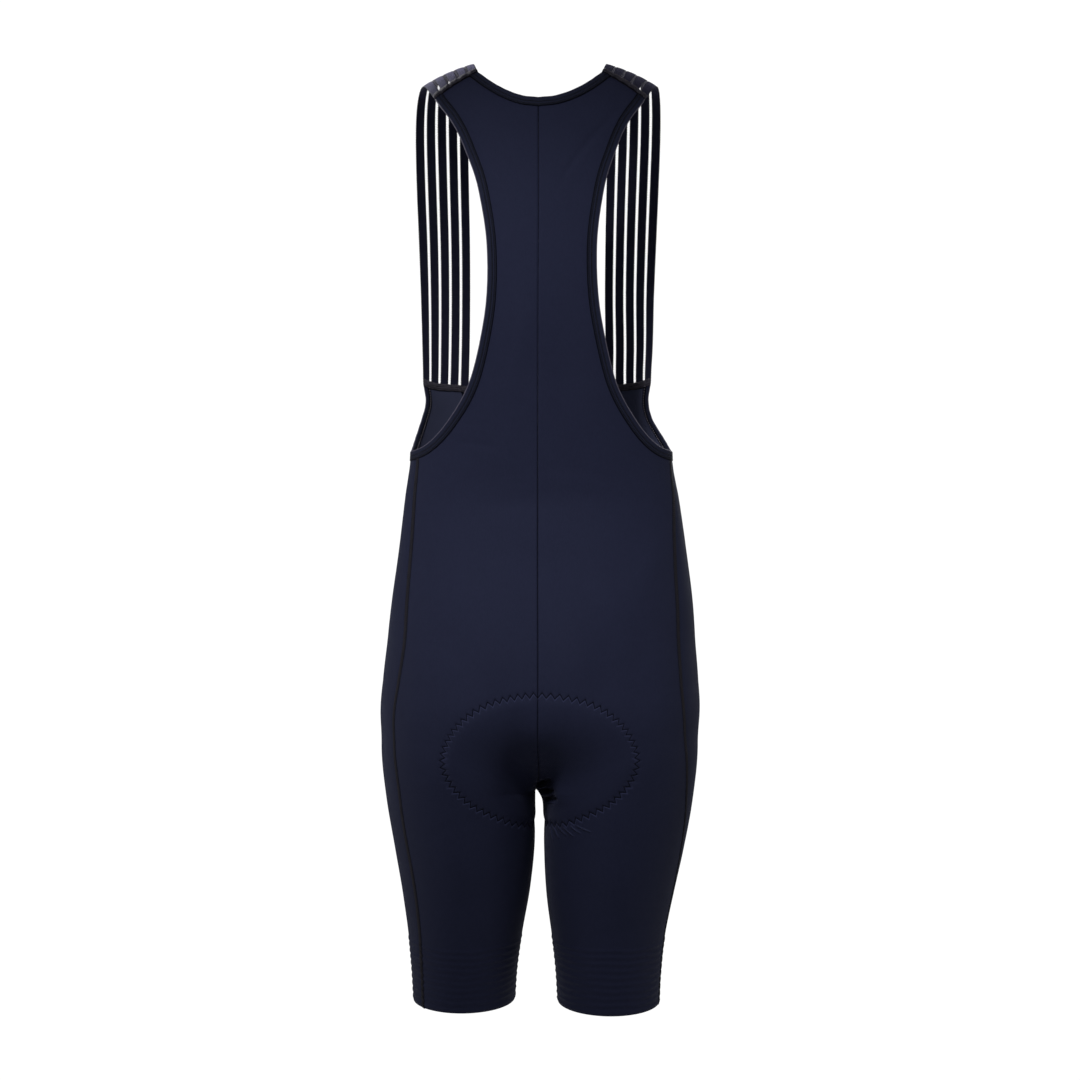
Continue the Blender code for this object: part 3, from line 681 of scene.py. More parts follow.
def new_piece(name, points, faces, material, maps=None, marks=None, sharp=40):
    """A mesh object with its UV maps and point marks."""
    mesh = bpy.data.meshes.new(name)
    mesh.from_pydata(np.asarray(points).tolist(), [], faces)
    corner = np.zeros(len(mesh.loops), np.int32)
    mesh.loops.foreach_get("vertex_index", corner)
    for title, places in (maps or {}).items():
        layer = mesh.uv_layers.new(name=title)
        layer.data.foreach_set("uv", np.asarray(places)[corner].astype(np.float32).ravel())
    for title, values in (marks or {}).items():
        mark = mesh.attributes.new(title, "FLOAT", "POINT")
        mark.data.foreach_set("value", np.asarray(values, np.float32))
    mesh.shade_smooth()
    mesh.set_sharp_from_angle(angle=math.radians(sharp))
    mesh.materials.append(material)
    item = bpy.data.objects.new(name, mesh)
    bpy.context.scene.collection.objects.link(item)
    pieces.append(item)
    return item


def wire(tree, kind, inputs=(), **settings):
    """A new node in a tree, with its inputs joined to sockets or set to values."""
    node = tree.nodes.new(kind)
    for key, value in settings.items():
        setattr(node, key, value)
    for key, value in dict(inputs).items():
        if isinstance(value, bpy.types.NodeSocket):
            tree.links.new(value, node.inputs[key])
        else:
            node.inputs[key].default_value = value
    return node


def sum_of(tree, operation, *values):
    return wire(tree, "ShaderNodeMath", dict(enumerate(values)), operation=operation).outputs[0]


def spot(tree, uv_map=None):
    """Where a point is: its x, y and height on the garment, or its place in a UV map."""
    if uv_map:
        place = wire(tree, "ShaderNodeUVMap", uv_map=uv_map).outputs[0]
    else:
        place = wire(tree, "ShaderNodeTexCoord").outputs["Object"]
    return wire(tree, "ShaderNodeSeparateXYZ", {0: place}).outputs


def ramp(tree, value, start, end, first, last, easing="SMOOTHSTEP"):
    """Goes from a first number to a last one as a value goes from start to end."""
    sizes = {0: value, 1: start, 2: end, 3: first, 4: last}
    return wire(tree, "ShaderNodeMapRange", sizes, interpolation_type=easing).outputs[0]


def mixed(tree, share, *colours):
    """Two colours mixed, each three numbers or a socket."""
    ends = [c if isinstance(c, bpy.types.NodeSocket) else (*c, 1) for c in colours]
    return wire(tree, "ShaderNodeMix", {0: share, 6: ends[0], 7: ends[1]}, data_type="RGBA").outputs[2]


def tinted(material, share, colour):
    """Lays a colour over a cloth's own, by a share that changes across it."""
    tree = material.node_tree
    base = tree.nodes["Principled BSDF"].inputs["Base Color"]
    tree.links.new(mixed(tree, share, base.links[0].from_socket, colour), base)


def embossed(material, height, distance):
    """Adds broader relief beneath a cloth's own loops."""
    tree = material.node_tree
    normal = tree.nodes["Bump"].inputs["Normal"]
    sizes = {"Strength": 1.0, "Distance": distance, "Height": height}
    if normal.is_linked:
        sizes["Normal"] = normal.links[0].from_socket
    tree.links.new(wire(tree, "ShaderNodeBump", sizes).outputs[0], normal)


def new_material(name):
    """An empty material with its tree and its shader."""
    material = bpy.data.materials.new(name)
    material.use_nodes = True
    return material, material.node_tree, material.node_tree.nodes["Principled BSDF"]


def new_group(name, inputs, outputs):
    """An empty shader group with named sockets."""
    group = bpy.data.node_groups.new(name, "ShaderNodeTree")
    for title, kind, value in inputs:
        socket = group.interface.new_socket(title, in_out="INPUT", socket_type="NodeSocket" + kind)
        if value is not None:
            socket.default_value = value
    for title, kind in outputs:
        group.interface.new_socket(title, in_out="OUTPUT", socket_type="NodeSocket" + kind)
    return group, group.nodes.new("NodeGroupInput"), group.nodes.new("NodeGroupOutput")


def knit_group():
    """Rows of small loops: how high the yarn stands, and how its colour varies."""
    group, given, result = new_group(
        "knit_loops",
        (("Place", "Vector", None), ("Wale", "Float", 0.0008), ("Course", "Float", 0.0006)),
        (("Height", "Float"), ("Yarn", "Float")),
    )
    place = wire(group, "ShaderNodeSeparateXYZ", {0: given.outputs["Place"]})
    u = sum_of(group, "DIVIDE", place.outputs[0], given.outputs["Wale"])
    v = sum_of(group, "DIVIDE", place.outputs[1], given.outputs["Course"])
    side = sum_of(group, "ABSOLUTE", sum_of(group, "SUBTRACT", sum_of(group, "FRACT", u), 0.5))
    loop = sum_of(group, "FRACT", sum_of(group, "ADD", v, side))
    bow = sum_of(group, "SINE", sum_of(group, "MULTIPLY", loop, math.pi))
    rim = sum_of(group, "POWER", sum_of(group, "MULTIPLY", side, 2.0), 3.0)
    flank = sum_of(group, "SUBTRACT", 1.0, rim)
    group.links.new(sum_of(group, "MULTIPLY", bow, flank), result.inputs["Height"])
    cell = wire(group, "ShaderNodeCombineXYZ", {
        0: sum_of(group, "FLOOR", u),
        1: sum_of(group, "FLOOR", sum_of(group, "MULTIPLY", v, 0.25)),
    })
    yarn = wire(group, "ShaderNodeTexWhiteNoise", {"Vector": cell.outputs[0]}, noise_dimensions="2D")
    group.links.new(yarn.outputs["Value"], result.inputs["Yarn"])
    return group


def cloth_shade_group():
    """Slow, faint changes of shade over dyed cloth, from 0 to 1."""
    group, given, result = new_group(
        "dyed_cloth_shade", (("Broad", "Float", 7.0), ("Small", "Float", 90.0)), (("Shade", "Float"),)
    )
    place = wire(group, "ShaderNodeTexCoord").outputs["Object"]
    parts = []
    for size, detail, weight in (("Broad", 3.0, 0.65), ("Small", 2.0, 0.35)):
        sizes = {"Vector": place, "Scale": given.outputs[size], "Detail": detail}
        parts.append(sum_of(group, "MULTIPLY", wire(group, "ShaderNodeTexNoise", sizes).outputs[0], weight))
    group.links.new(sum_of(group, "ADD", *parts), result.inputs["Shade"])
    return group


knit_loops, dyed_cloth = knit_group(), cloth_shade_group()
LOOP_DEPTH = 0.0003


def cloth_material(name, dark, light, roughness, sheen, wale, course, depth, inside=None):
    """A knitted or woven cloth: its two shades, its loops and its sheen."""
    material, tree, shader = new_material(name)
    place = wire(tree, "ShaderNodeUVMap", uv_map="weave").outputs[0]
    knit = wire(tree, "ShaderNodeGroup", node_tree=knit_loops)
    for key, value in (("Wale", wale), ("Course", course)):
        knit.inputs[key].default_value = value
    tree.links.new(place, knit.inputs["Place"])
    shade = wire(tree, "ShaderNodeGroup", node_tree=dyed_cloth)
    share = sum_of(tree, "ADD", sum_of(tree, "MULTIPLY", shade.outputs[0], 0.75),
                   sum_of(tree, "MULTIPLY", knit.outputs["Yarn"], 0.25))
    tree.links.new(mixed(tree, share, dark, light), shader.inputs["Base Color"])
    if inside:
        tinted(material, wire(tree, "ShaderNodeAttribute", attribute_name="inside").outputs["Fac"], inside)
    rough = sum_of(tree, "ADD", sum_of(tree, "MULTIPLY", shade.outputs[0], 0.12), roughness - 0.06)
    tree.links.new(rough, shader.inputs["Roughness"])
    relief = {"Strength": depth, "Distance": LOOP_DEPTH, "Height": knit.outputs["Height"]}
    tree.links.new(wire(tree, "ShaderNodeBump", relief).outputs[0], shader.inputs["Normal"])
    shader.inputs["Specular IOR Level"].default_value = 0.10
    shader.inputs["Specular Tint"].default_value = (0.62, 0.68, 1.0, 1)
    shader.inputs["Sheen Weight"].default_value = sheen
    shader.inputs["Sheen Roughness"].default_value = 0.35
    shader.inputs["Sheen Tint"].default_value = (0.62, 0.66, 0.95, 1)
    return material


# Dark of the zigzag and middle seam lines: partly black thread, partly painted shade of the groove each lies
# in.
ZIGZAG_THREAD_AND_GROOVE_SHADE, SEAM_THREAD_AND_GROOVE_SHADE = (0.0015, 0.0015, 0.0025), (0.002, 0.002, 0.004)
# Painted highlight colour for the light crescents just below the zigzag line.
CRESCENT_HIGHLIGHT_NAVY = (0.034, 0.039, 0.088)
PAD_PUFF, SEAM_PRESS, FOLD_RISE = 0.0006, 0.0006, 0.0014


def quilted(material):
    """Adds the pressed zigzag line round the pad to a cloth's colour and height: a dark line that is partly
    the black thread and partly painted shade of its groove, and a painted highlight just below it.
    """
    tree = material.node_tree
    tooth, outside = spot(tree, "pad_edge")[:2]
    nearest = sum_of(tree, "FLOOR", sum_of(tree, "ADD", tooth, 0.5))
    half_tooth = sum_of(tree, "ABSOLUTE", sum_of(tree, "SUBTRACT", tooth, nearest))
    wave = sum_of(tree, "SUBTRACT", sum_of(tree, "MULTIPLY", half_tooth, 4.0), 1.0)
    off = sum_of(tree, "SUBTRACT", outside, sum_of(tree, "MULTIPLY", wave, ZIGZAG_REACH))
    line = ramp(tree, sum_of(tree, "ABSOLUTE", off), 0.0002, 0.0010, 0.9, 0.0)
    padded, beside = ramp(tree, off, 0.0, -0.0030, 0.0, 1.0), ramp(tree, off, 0.0, 0.0024, 0.0, 0.6)
    above = ramp(tree, spot(tree)[2], -0.705, -0.655, 1.0, -1.0, "LINEAR")
    beneath = sum_of(tree, "SUBTRACT", sum_of(tree, "MULTIPLY", off, above), 0.0014)
    # Painted highlight in a narrow band just below the zigzag line, where the cloth would face the light
    # from above; it fades at the pad's middle height.
    crescent_highlight = ramp(tree, sum_of(tree, "ABSOLUTE", beneath), 0.0001, 0.0015, 0.75, 0.0)
    near = ramp(tree, sum_of(tree, "ABSOLUTE", above), 0.25, 0.7, 0.0, 1.0, "LINEAR")
    tinted(material, sum_of(tree, "MULTIPLY", crescent_highlight, near), CRESCENT_HIGHLIGHT_NAVY)
    # The dark line is partly the black thread and partly painted shade of the groove it sinks into.
    tinted(material, line, ZIGZAG_THREAD_AND_GROOVE_SHADE)
    embossed(material, sum_of(tree, "ADD", padded, beside), PAD_PUFF)


def pressed_seam(material):
    """Turns a cloth's edge down into its middle or inner-leg seam, and darkens it there: partly the black
    thread in the joint, partly painted shade of the groove.
    """
    tree = material.node_tree
    off = spot(tree, "weave")[0]
    # Partly the black thread in the joint, partly painted shade of the groove where the edges turn down.
    tinted(material, ramp(tree, off, 0.0001, 0.0008, 0.38, 0.0), SEAM_THREAD_AND_GROOVE_SHADE)
    embossed(material, ramp(tree, off, 0.0, 0.0022, 0.0, 1.0), SEAM_PRESS)


# The deep folds beside the crotch painted dark, the painted shade round them, and the ridges between them
# and the gathers beneath the pad, raised and with painted highlights, as lines seen from behind.
CROTCH_HOLLOW_SHADES = (
    # start_x, start_z, end_x, end_z, half_width, bow
    (0.0036, -0.7034, -0.0078, -0.6925, 0.0034, 0.0),
    (0.0027, -0.7082, -0.0112, -0.7017, 0.0042, 0.0),
    (-0.0022, -0.7150, -0.0150, -0.7090, 0.0037, 0.0),
)
CROTCH_SHADOW = (0.0040, -0.7025, -0.0165, -0.7075, 0.0175, 0.0)
CROTCH_RIDGES = (
    (0.0021, -0.7065, -0.0070, -0.6986, 0.0010, 0.0003),
    (-0.0028, -0.7092, -0.0118, -0.7079, 0.0011, 0.0003),
    (-0.0059, -0.7174, -0.0142, -0.7145, 0.0011, 0.0003),
)
GATHERS = (
    (-0.0100, -0.7378, -0.0126, -0.7535, 0.0014, 0.0006),
    (-0.0132, -0.7383, -0.0185, -0.7492, 0.0014, 0.0006),
    (-0.0176, -0.7374, -0.0258, -0.7444, 0.0014, 0.0005),
    (-0.0220, -0.7358, -0.0328, -0.7440, 0.0014, 0.0005),
    (-0.0280, -0.7333, -0.0392, -0.7402, 0.0015, 0.0005),
    (-0.0335, -0.7322, -0.0492, -0.7376, 0.0015, 0.0004),
)
SHADOW_SHARE, HIGHLIGHT_SHARE = 0.72, 0.7
FOLD_SHADE_BLACK, FOLD_HIGHLIGHT_NAVY = (0.0008, 0.0008, 0.0018), (0.040, 0.046, 0.098)


def fold_line_group():
    """A soft bowed line between two places: 1 on it, and 0 at its half width and ends."""
    group, given, result = new_group(
        "fold_line",
        (("Place", "Vector", None), ("Start", "Vector", None), ("End", "Vector", None),
         ("Half Width", "Float", 0.001), ("Bow", "Float", 0.0)),
        (("Fold", "Float"),),
    )

    def vectors(operation, *values):
        return wire(group, "ShaderNodeVectorMath", dict(enumerate(values)), operation=operation).outputs

    def scaled(vector, factor):
        return wire(group, "ShaderNodeVectorMath", {0: vector, 3: factor}, operation="SCALE").outputs[0]

    way = vectors("SUBTRACT", given.outputs["End"], given.outputs["Start"])[0]
    step = vectors("SUBTRACT", given.outputs["Place"], given.outputs["Start"])[0]
    dot, whole = vectors("DOT_PRODUCT", step, way)[1], vectors("DOT_PRODUCT", way, way)[1]
    along = sum_of(group, "DIVIDE", dot, whole)
    share = wire(group, "ShaderNodeClamp", {0: along}).outputs[0]
    side = vectors("NORMALIZE", vectors("CROSS_PRODUCT", way, (0, 1, 0))[0])[0]
    swell = sum_of(group, "SINE", sum_of(group, "MULTIPLY", share, math.pi))
    bowed = scaled(side, sum_of(group, "MULTIPLY", swell, given.outputs["Bow"]))
    off = vectors("SUBTRACT", step, vectors("ADD", scaled(way, share), bowed)[0])[0]
    near = ramp(group, vectors("LENGTH", off)[1], 0.0, given.outputs["Half Width"], 1.0, 0.0)
    fold = sum_of(group, "MULTIPLY", near, sum_of(group, "POWER", sum_of(group, "ABSOLUTE", swell), 0.8))
    group.links.new(fold, result.inputs["Fold"])
    return group


fold_line = fold_line_group()


def gathered_crotch(material):
    """Paints shade into the deep folds at the crotch and round them, and adds the ridges between them and
    the gathers beneath the pad as relief with painted highlights, to a cloth.
    """
    tree = material.node_tree
    x, y, height = spot(tree)
    level = wire(tree, "ShaderNodeCombineXYZ", {0: x, 2: height}).outputs[0]
    behind = ramp(tree, y, 0.0035, 0.0075, 0.0, 1.0, "LINEAR")

    def lines(table):
        total = None
        for x0, z0, x1, z1, half_width, bow in table:
            fold = wire(tree, "ShaderNodeGroup", node_tree=fold_line)
            tree.links.new(level, fold.inputs["Place"])
            sizes = (("Start", (x0, 0, z0)), ("End", (x1, 0, z1)), ("Half Width", half_width), ("Bow", bow))
            for key, value in sizes:
                fold.inputs[key].default_value = value
            total = fold.outputs[0] if total is None else sum_of(tree, "MAXIMUM", total, fold.outputs[0])
        return sum_of(tree, "MULTIPLY", total, behind)

    # The hollows and the broad shadow round them are painted shade; the ridges and gathers are raised and
    # carry a painted highlight.
    hollow_shade, ridges, gathers = lines(CROTCH_HOLLOW_SHADES), lines(CROTCH_RIDGES), lines(GATHERS)
    shadow = sum_of(tree, "MULTIPLY", lines((CROTCH_SHADOW,)), SHADOW_SHARE)
    depth = sum_of(tree, "MAXIMUM", hollow_shade, shadow)
    # Painted shade: black in the deep folds and round them, less where a ridge runs.
    dark = wire(tree, "ShaderNodeClamp", {0: sum_of(tree, "SUBTRACT", depth, ridges)}).outputs[0]
    tinted(material, dark, FOLD_SHADE_BLACK)
    fold_highlight = sum_of(tree, "MULTIPLY", sum_of(tree, "MAXIMUM", ridges, gathers), HIGHLIGHT_SHARE)
    tinted(material, fold_highlight, FOLD_HIGHLIGHT_NAVY)
    embossed(material, sum_of(tree, "ADD", ridges, gathers), FOLD_RISE)


navy_knit = cloth_material(
    "navy_knit", dark=(0.0150, 0.0175, 0.0400), light=(0.0215, 0.0245, 0.0540), roughness=0.62,
    sheen=0.06, wale=0.0008, course=0.0006, depth=0.35, inside=(0.045, 0.050, 0.090),
)
quilted(navy_knit)
pressed_seam(navy_knit)
gathered_crotch(navy_knit)

PANEL_CUTS = {
    # width, length and area before they are stretched
    "back_panel_left": (0.175, 0.956, 0.093),
    "back_panel_right": (0.188, 0.972, 0.098),
    "front_panel_left": (0.290, 0.703, 0.133),
    "front_panel_right": (0.277, 0.695, 0.127),
}
panels, panel_grids = {}, {}
for which in ("back", "front"):
    for side in ("left", "right"):
        keys, starts, grid = fine_panel(which, side)
        mirror = MIRROR[side]
        outwards = turns_outward(grid) == (side == "left")
        across, down = (np.linalg.norm(np.diff(grid, axis=axis), axis=-1) for axis in (1, 0))
        u = np.concatenate([np.zeros((len(keys), 1)), np.cumsum(across, axis=1)], 1)
        v = np.broadcast_to(np.r_[0, np.cumsum(down.mean(1))][:, None], u.shape)
        panel_grids[which, side] = (keys, starts, grid)
        cloth = trimmed(grid)
        up = outward(cloth)
        form = soft_form(cloth * mirror)
        seam = np.minimum(u, u[:, -1:] - u)
        pucker = PUCKER * np.exp(-seam / PUCKER_REACH)
        pucker = pucker * np.cos(2 * math.pi * v / PUCKER_PITCH + 2 * np.sin(v * 60))
        roll = np.zeros(form.shape)
        edge = border(*form.shape)
        roll[edge[:, 0], edge[:, 1]] = EDGE_ROLL
        roll[-1] = 0
        outer = cloth + up * (form + pucker - roll)[..., None]
        inner = cloth - up * (CLOTH - form * (form < 0) - pucker)[..., None]
        inner = inner[::2, ::2]
        points, faces = closed_wall(outer * mirror, inner * mirror, outwards)
        round_it, away = from_pad_edge(cloth * mirror)
        weave, rim = (
            np.vstack([places.reshape(-1, 2), places[::2, ::2].reshape(-1, 2)])
            for places in (np.stack([u, v], -1), np.stack([teeth_at(round_it), away], -1))
        )
        inside = np.r_[np.zeros(outer.size // 3), np.ones(inner.size // 3)]
        name = f"{which}_panel_{side}"
        panels[name] = new_piece(name + "_cloth", points, faces, navy_knit,
                                 {"weave": weave, "pad_edge": rim}, {"inside": inside})
        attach(panels[name], "root")
        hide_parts(name)
        wide, long, whole = PANEL_CUTS[name]

# ------------------------------------------------------------ the seams between panels
# Black polyester thread. The side seams and inseams are flatlocked, a band of slanting
# stitches over both edges, and the middle seams are plain. Inside, each seam has its
# allowance, folded flat and overlocked.

SIDE_FLATLOCK, INNER_FLATLOCK, FLATLOCK_PITCH = 0.0058, 0.0038, 0.0020
SIDE_RISE, INNER_RISE, SIDE_REACH, INNER_REACH = 0.00032, 0.00020, 1.06, 0.86
STRIP_TOP, STRIP_FOOT, STRIP_STEP = 0.00030, -0.00050, 0.0022
ALLOWANCE_WIDTH, ALLOWANCE_HEIGHT, ALLOWANCE_PITCH, ALLOWANCE_GAP = 0.0052, 0.0009, 0.0021, 0.00005
SEAM_START = 0.0014
FLATLOCK_THREAD, FLATLOCK_TURN, FLATLOCK_FULLNESS = 0.0009, 66, 1.6
ALLOWANCE_THREAD, ALLOWANCE_TURN, ZIGZAG_THREAD = (0.0008, 0.0005), 72, (0.0005, 0.0004)
ZIGZAG_RISE, STITCH_SHARE = 0.00012, 0.98


def outside_out(points, faces):
    """The faces of a closed form, turned if they look inwards."""
    volume = 0.0
    for face in faces:
        p = points[np.array(face)]
        volume += np.sum(np.cross(p[1:-1], p[2:]) @ p[0])
    return faces if volume > 0 else [face[::-1] for face in faces]


def strip_faces(count, around):
    """Faces of a strip: its cross-section runs along its face, then back beneath."""
    ring = np.arange(count * around).reshape(count, around)
    after = np.roll(ring, -1, axis=1)
    faces = np.stack([ring[:-1], after[:-1], after[1:], ring[1:]], -1).reshape(-1, 4).tolist()
    for end, turn in ((ring[0], -1), (ring[-1], 1)):
        for k in range(around // 2 - 1):
            faces.append([int(end[i]) for i in (k, k + 1, around - 2 - k, around - 1 - k)][::turn])
    return faces


def thread_tree():
    """One short rounded stitch on each point, lying along it."""
    tree = bpy.data.node_groups.new("thread_stitches", "GeometryNodeTree")
    sockets = (
        ("Points", "Geometry", None), ("Thread Width", "Float", 0.0005),
        ("Thread Height", "Float", 0.0004), ("Unevenness", "Float", 0.08),
        ("Seed", "Int", 0), ("Thread", "Material", None),
    )
    for title, kind, value in sockets:
        socket = tree.interface.new_socket(title, in_out="INPUT", socket_type="NodeSocket" + kind)
        if value is not None:
            socket.default_value = value
    tree.interface.new_socket("Stitches", in_out="OUTPUT", socket_type="NodeSocketGeometry")
    given, result = tree.nodes.new("NodeGroupInput").outputs, tree.nodes.new("NodeGroupOutput")

    def made(kind, inputs, output=0, **settings):
        return wire(tree, kind, inputs, **settings).outputs[output]

    along, up, length = (
        made("GeometryNodeInputNamedAttribute", {"Name": title}, data_type=kind)
        for title, kind in (("along", "FLOAT_VECTOR"), ("up", "FLOAT_VECTOR"), ("length", "FLOAT"))
    )
    between_ends = {2: -1.0, 3: 1.0, "Seed": given["Seed"]}
    chance = made("FunctionNodeRandomValue", between_ends, 1, data_type="FLOAT")
    uneven = sum_of(tree, "MULTIPLY", chance, given["Unevenness"])
    lie = made("FunctionNodeAxesToRotation", {0: up, 1: along}, primary_axis="Z", secondary_axis="X")
    swing = made("FunctionNodeAxisAngleToRotation", {"Axis": (0, 0, 1), "Angle": uneven})
    lie = made("FunctionNodeRotateRotation", {0: lie, 1: swing}, rotation_space="LOCAL")
    long = sum_of(tree, "MULTIPLY", length, sum_of(tree, "ADD", uneven, 1.0))
    scale = made("ShaderNodeCombineXYZ", {0: long, 1: given["Thread Width"], 2: given["Thread Height"]})
    grain = made("GeometryNodeMeshUVSphere", {"Segments": 6, "Rings": 3, "Radius": 0.55})
    placing = {"Points": given["Points"], "Instance": grain, "Rotation": lie, "Scale": scale}
    real = made("GeometryNodeRealizeInstances", {0: made("GeometryNodeInstanceOnPoints", placing)})
    smooth = made("GeometryNodeSetShadeSmooth", {0: real})
    done = made("GeometryNodeSetMaterial", {0: smooth, "Material": given["Thread"]})
    tree.links.new(done, result.inputs[0])
    return tree


thread_stitches = thread_tree()


def sewn(name, rows, thread, width, height, unevenness=0.08, mirror=1.0):
    """Stitches as one piece: rows are (points, directions, outward directions, lengths)."""
    *places, lengths = (np.concatenate(column) for column in zip(*rows))
    points, along, up = (part * mirror for part in places)
    mesh = bpy.data.meshes.new(name)
    mesh.from_pydata(points.tolist(), [], [])
    for title, values in (("along", along), ("up", up)):
        mark = mesh.attributes.new(title, "FLOAT_VECTOR", "POINT")
        mark.data.foreach_set("vector", values.astype(np.float32).ravel())
    mark = mesh.attributes.new("length", "FLOAT", "POINT")
    mark.data.foreach_set("value", lengths.astype(np.float32))
    item = bpy.data.objects.new(name, mesh)
    bpy.context.scene.collection.objects.link(item)
    modifier = item.modifiers.new("stitches", "NODES")
    modifier.node_group = thread_stitches
    sizes = {"Thread Width": width, "Thread Height": height, "Unevenness": unevenness,
             "Seed": 1, "Thread": thread}
    for socket in thread_stitches.interface.items_tree:
        if socket.in_out == "INPUT" and socket.name in sizes:
            modifier[socket.identifier] = sizes[socket.name]
    found = item.evaluated_get(bpy.context.evaluated_depsgraph_get())
    plain = bpy.data.meshes.new_from_object(found)
    item.modifiers.remove(modifier)
    item.data = plain
    plain.name = name
    pieces.append(item)
    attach(item, "root")
    return item


def on_cloth(points, mirror, inside):
    """How far the cloth stands out at points: its outer face, or its inner one."""
    form = soft_form(points * mirror)
    return np.minimum(form, 0) if inside else form


def row_of_stitches(line, height, pitch, length, turn=0.0, other_turn=None, start=0.5, mirror=None):
    """Stitches along a line on the cloth, turned by an angle, or by two in turn."""
    total = travelled(line)[-1]
    places = np.arange(start * pitch, total, pitch)
    points = at_places(line, places)
    ahead = unit(at_places(line, places + 1e-4) - at_places(line, places - 1e-4))
    up = outward(points)
    side = unit(np.cross(up, ahead))
    turns = np.full(len(points), math.radians(turn))
    if other_turn is not None:
        turns[1::2] = math.radians(other_turn)
    ahead = ahead * np.cos(turns)[:, None] + side * np.sin(turns)[:, None]
    form = np.zeros(len(points)) if mirror is None else on_cloth(points, mirror, height < 0)
    return points + up * (height + form)[:, None], ahead, up, np.full(len(points), length)


def thread_material(name, dark, light, roughness, sheen, gloss=0.04):
    """Twisted thread: its ply shows as fine slanting bands."""
    material, tree, shader = new_material(name)
    place = wire(tree, "ShaderNodeTexCoord").outputs["Object"]
    ply = wire(tree, "ShaderNodeTexWave", {"Vector": place, "Scale": 900.0, "Distortion": 0.4},
               bands_direction="DIAGONAL")
    fleck = wire(tree, "ShaderNodeTexNoise", {"Vector": place, "Scale": 420.0, "Detail": 1.0})
    share = sum_of(tree, "MULTIPLY", sum_of(tree, "ADD", ply.outputs[1], fleck.outputs[0]), 0.5)
    tree.links.new(mixed(tree, share, dark, light), shader.inputs["Base Color"])
    bump = wire(tree, "ShaderNodeBump", {"Strength": 0.4, "Distance": 0.0002, "Height": ply.outputs[1]})
    tree.links.new(bump.outputs[0], shader.inputs["Normal"])
    rough = sum_of(tree, "ADD", sum_of(tree, "MULTIPLY", fleck.outputs[0], 0.2), roughness - 0.1)
    tree.links.new(rough, shader.inputs["Roughness"])
    shader.inputs["Specular IOR Level"].default_value = gloss
    shader.inputs["Sheen Weight"].default_value = sheen
    return material


black_thread = thread_material("black_thread", (0.0018, 0.0019, 0.0030), (0.0052, 0.0054, 0.0084), 0.65, 0.0)
flatlock_thread = thread_material(
    "flatlock_thread", (0.0100, 0.0096, 0.0130), (0.0640, 0.0590, 0.0740), 0.6, 0.0, 0.1
)


def cross_section(line):
    """Points of a line on the cloth with their outward and sideways directions."""
    up = outward(line)
    ahead = unit(np.gradient(line, axis=0))
    return up, unit(np.cross(up, ahead))


def flat_strip(name, line, width, top, bottom, material, mirror):
    """A low rounded strip along a line on the cloth, between two heights."""
    line = spaced(line, max(int(travelled(line)[-1] / STRIP_STEP), 4))
    up, side = cross_section(line)
    shares = np.array((-1.0, -0.82, -0.4, 0.0, 0.4, 0.82, 1.0))
    crown = np.array((0.25, 0.8, 1.0, 1.0, 1.0, 0.8, 0.25))
    place = travelled(line)[:, None]
    across = settle(line[:, None] + side[:, None] * (shares * width / 2)[None, :, None], 2)
    normal = outward(across)
    form = on_cloth(across, mirror, top < 0)
    high, low = bottom + (top - bottom) * crown + form, bottom + form
    rings = [across + normal * high[..., None], (across + normal * low[..., None])[:, ::-1]]
    rings = np.concatenate(rings, 1)
    around = rings.shape[1]
    points = rings.reshape(-1, 3) * mirror
    faces = outside_out(points, strip_faces(len(rings), around))
    u = np.broadcast_to(place, (len(line), around))
    v = np.broadcast_to(np.r_[shares, shares[::-1]] * width / 2, u.shape)
    weave = np.stack([u, v], -1).reshape(-1, 2)
    item = new_piece(name, points, faces, material, {"weave": weave}, sharp=60)
    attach(item, "root")
    return item


overlock_thread = cloth_material(
    "overlock_thread", dark=(0.0030, 0.0029, 0.0032), light=(0.0085, 0.0078, 0.0080), roughness=0.7,
    sheen=0.0, wale=0.0012, course=0.0011, depth=0.9,
)
flatlock_cloth = cloth_material(
    "flatlock_cloth", dark=(0.0064, 0.0063, 0.0100), light=(0.0128, 0.0126, 0.0192), roughness=0.7,
    sheen=0.0, wale=0.0012, course=0.0011, depth=0.6,
)


def allowance(name, line, mirror):
    """A seam's folded edges inside, with their overlocking."""
    depth = -CLOTH - ALLOWANCE_HEIGHT
    flat_strip(name, line, ALLOWANCE_WIDTH, depth, -CLOTH - ALLOWANCE_GAP, overlock_thread, mirror)
    row = row_of_stitches(line, depth, ALLOWANCE_PITCH, ALLOWANCE_WIDTH, turn=ALLOWANCE_TURN, mirror=mirror)
    sewn(name + "_stitches", [row], black_thread, *ALLOWANCE_THREAD, mirror=mirror)


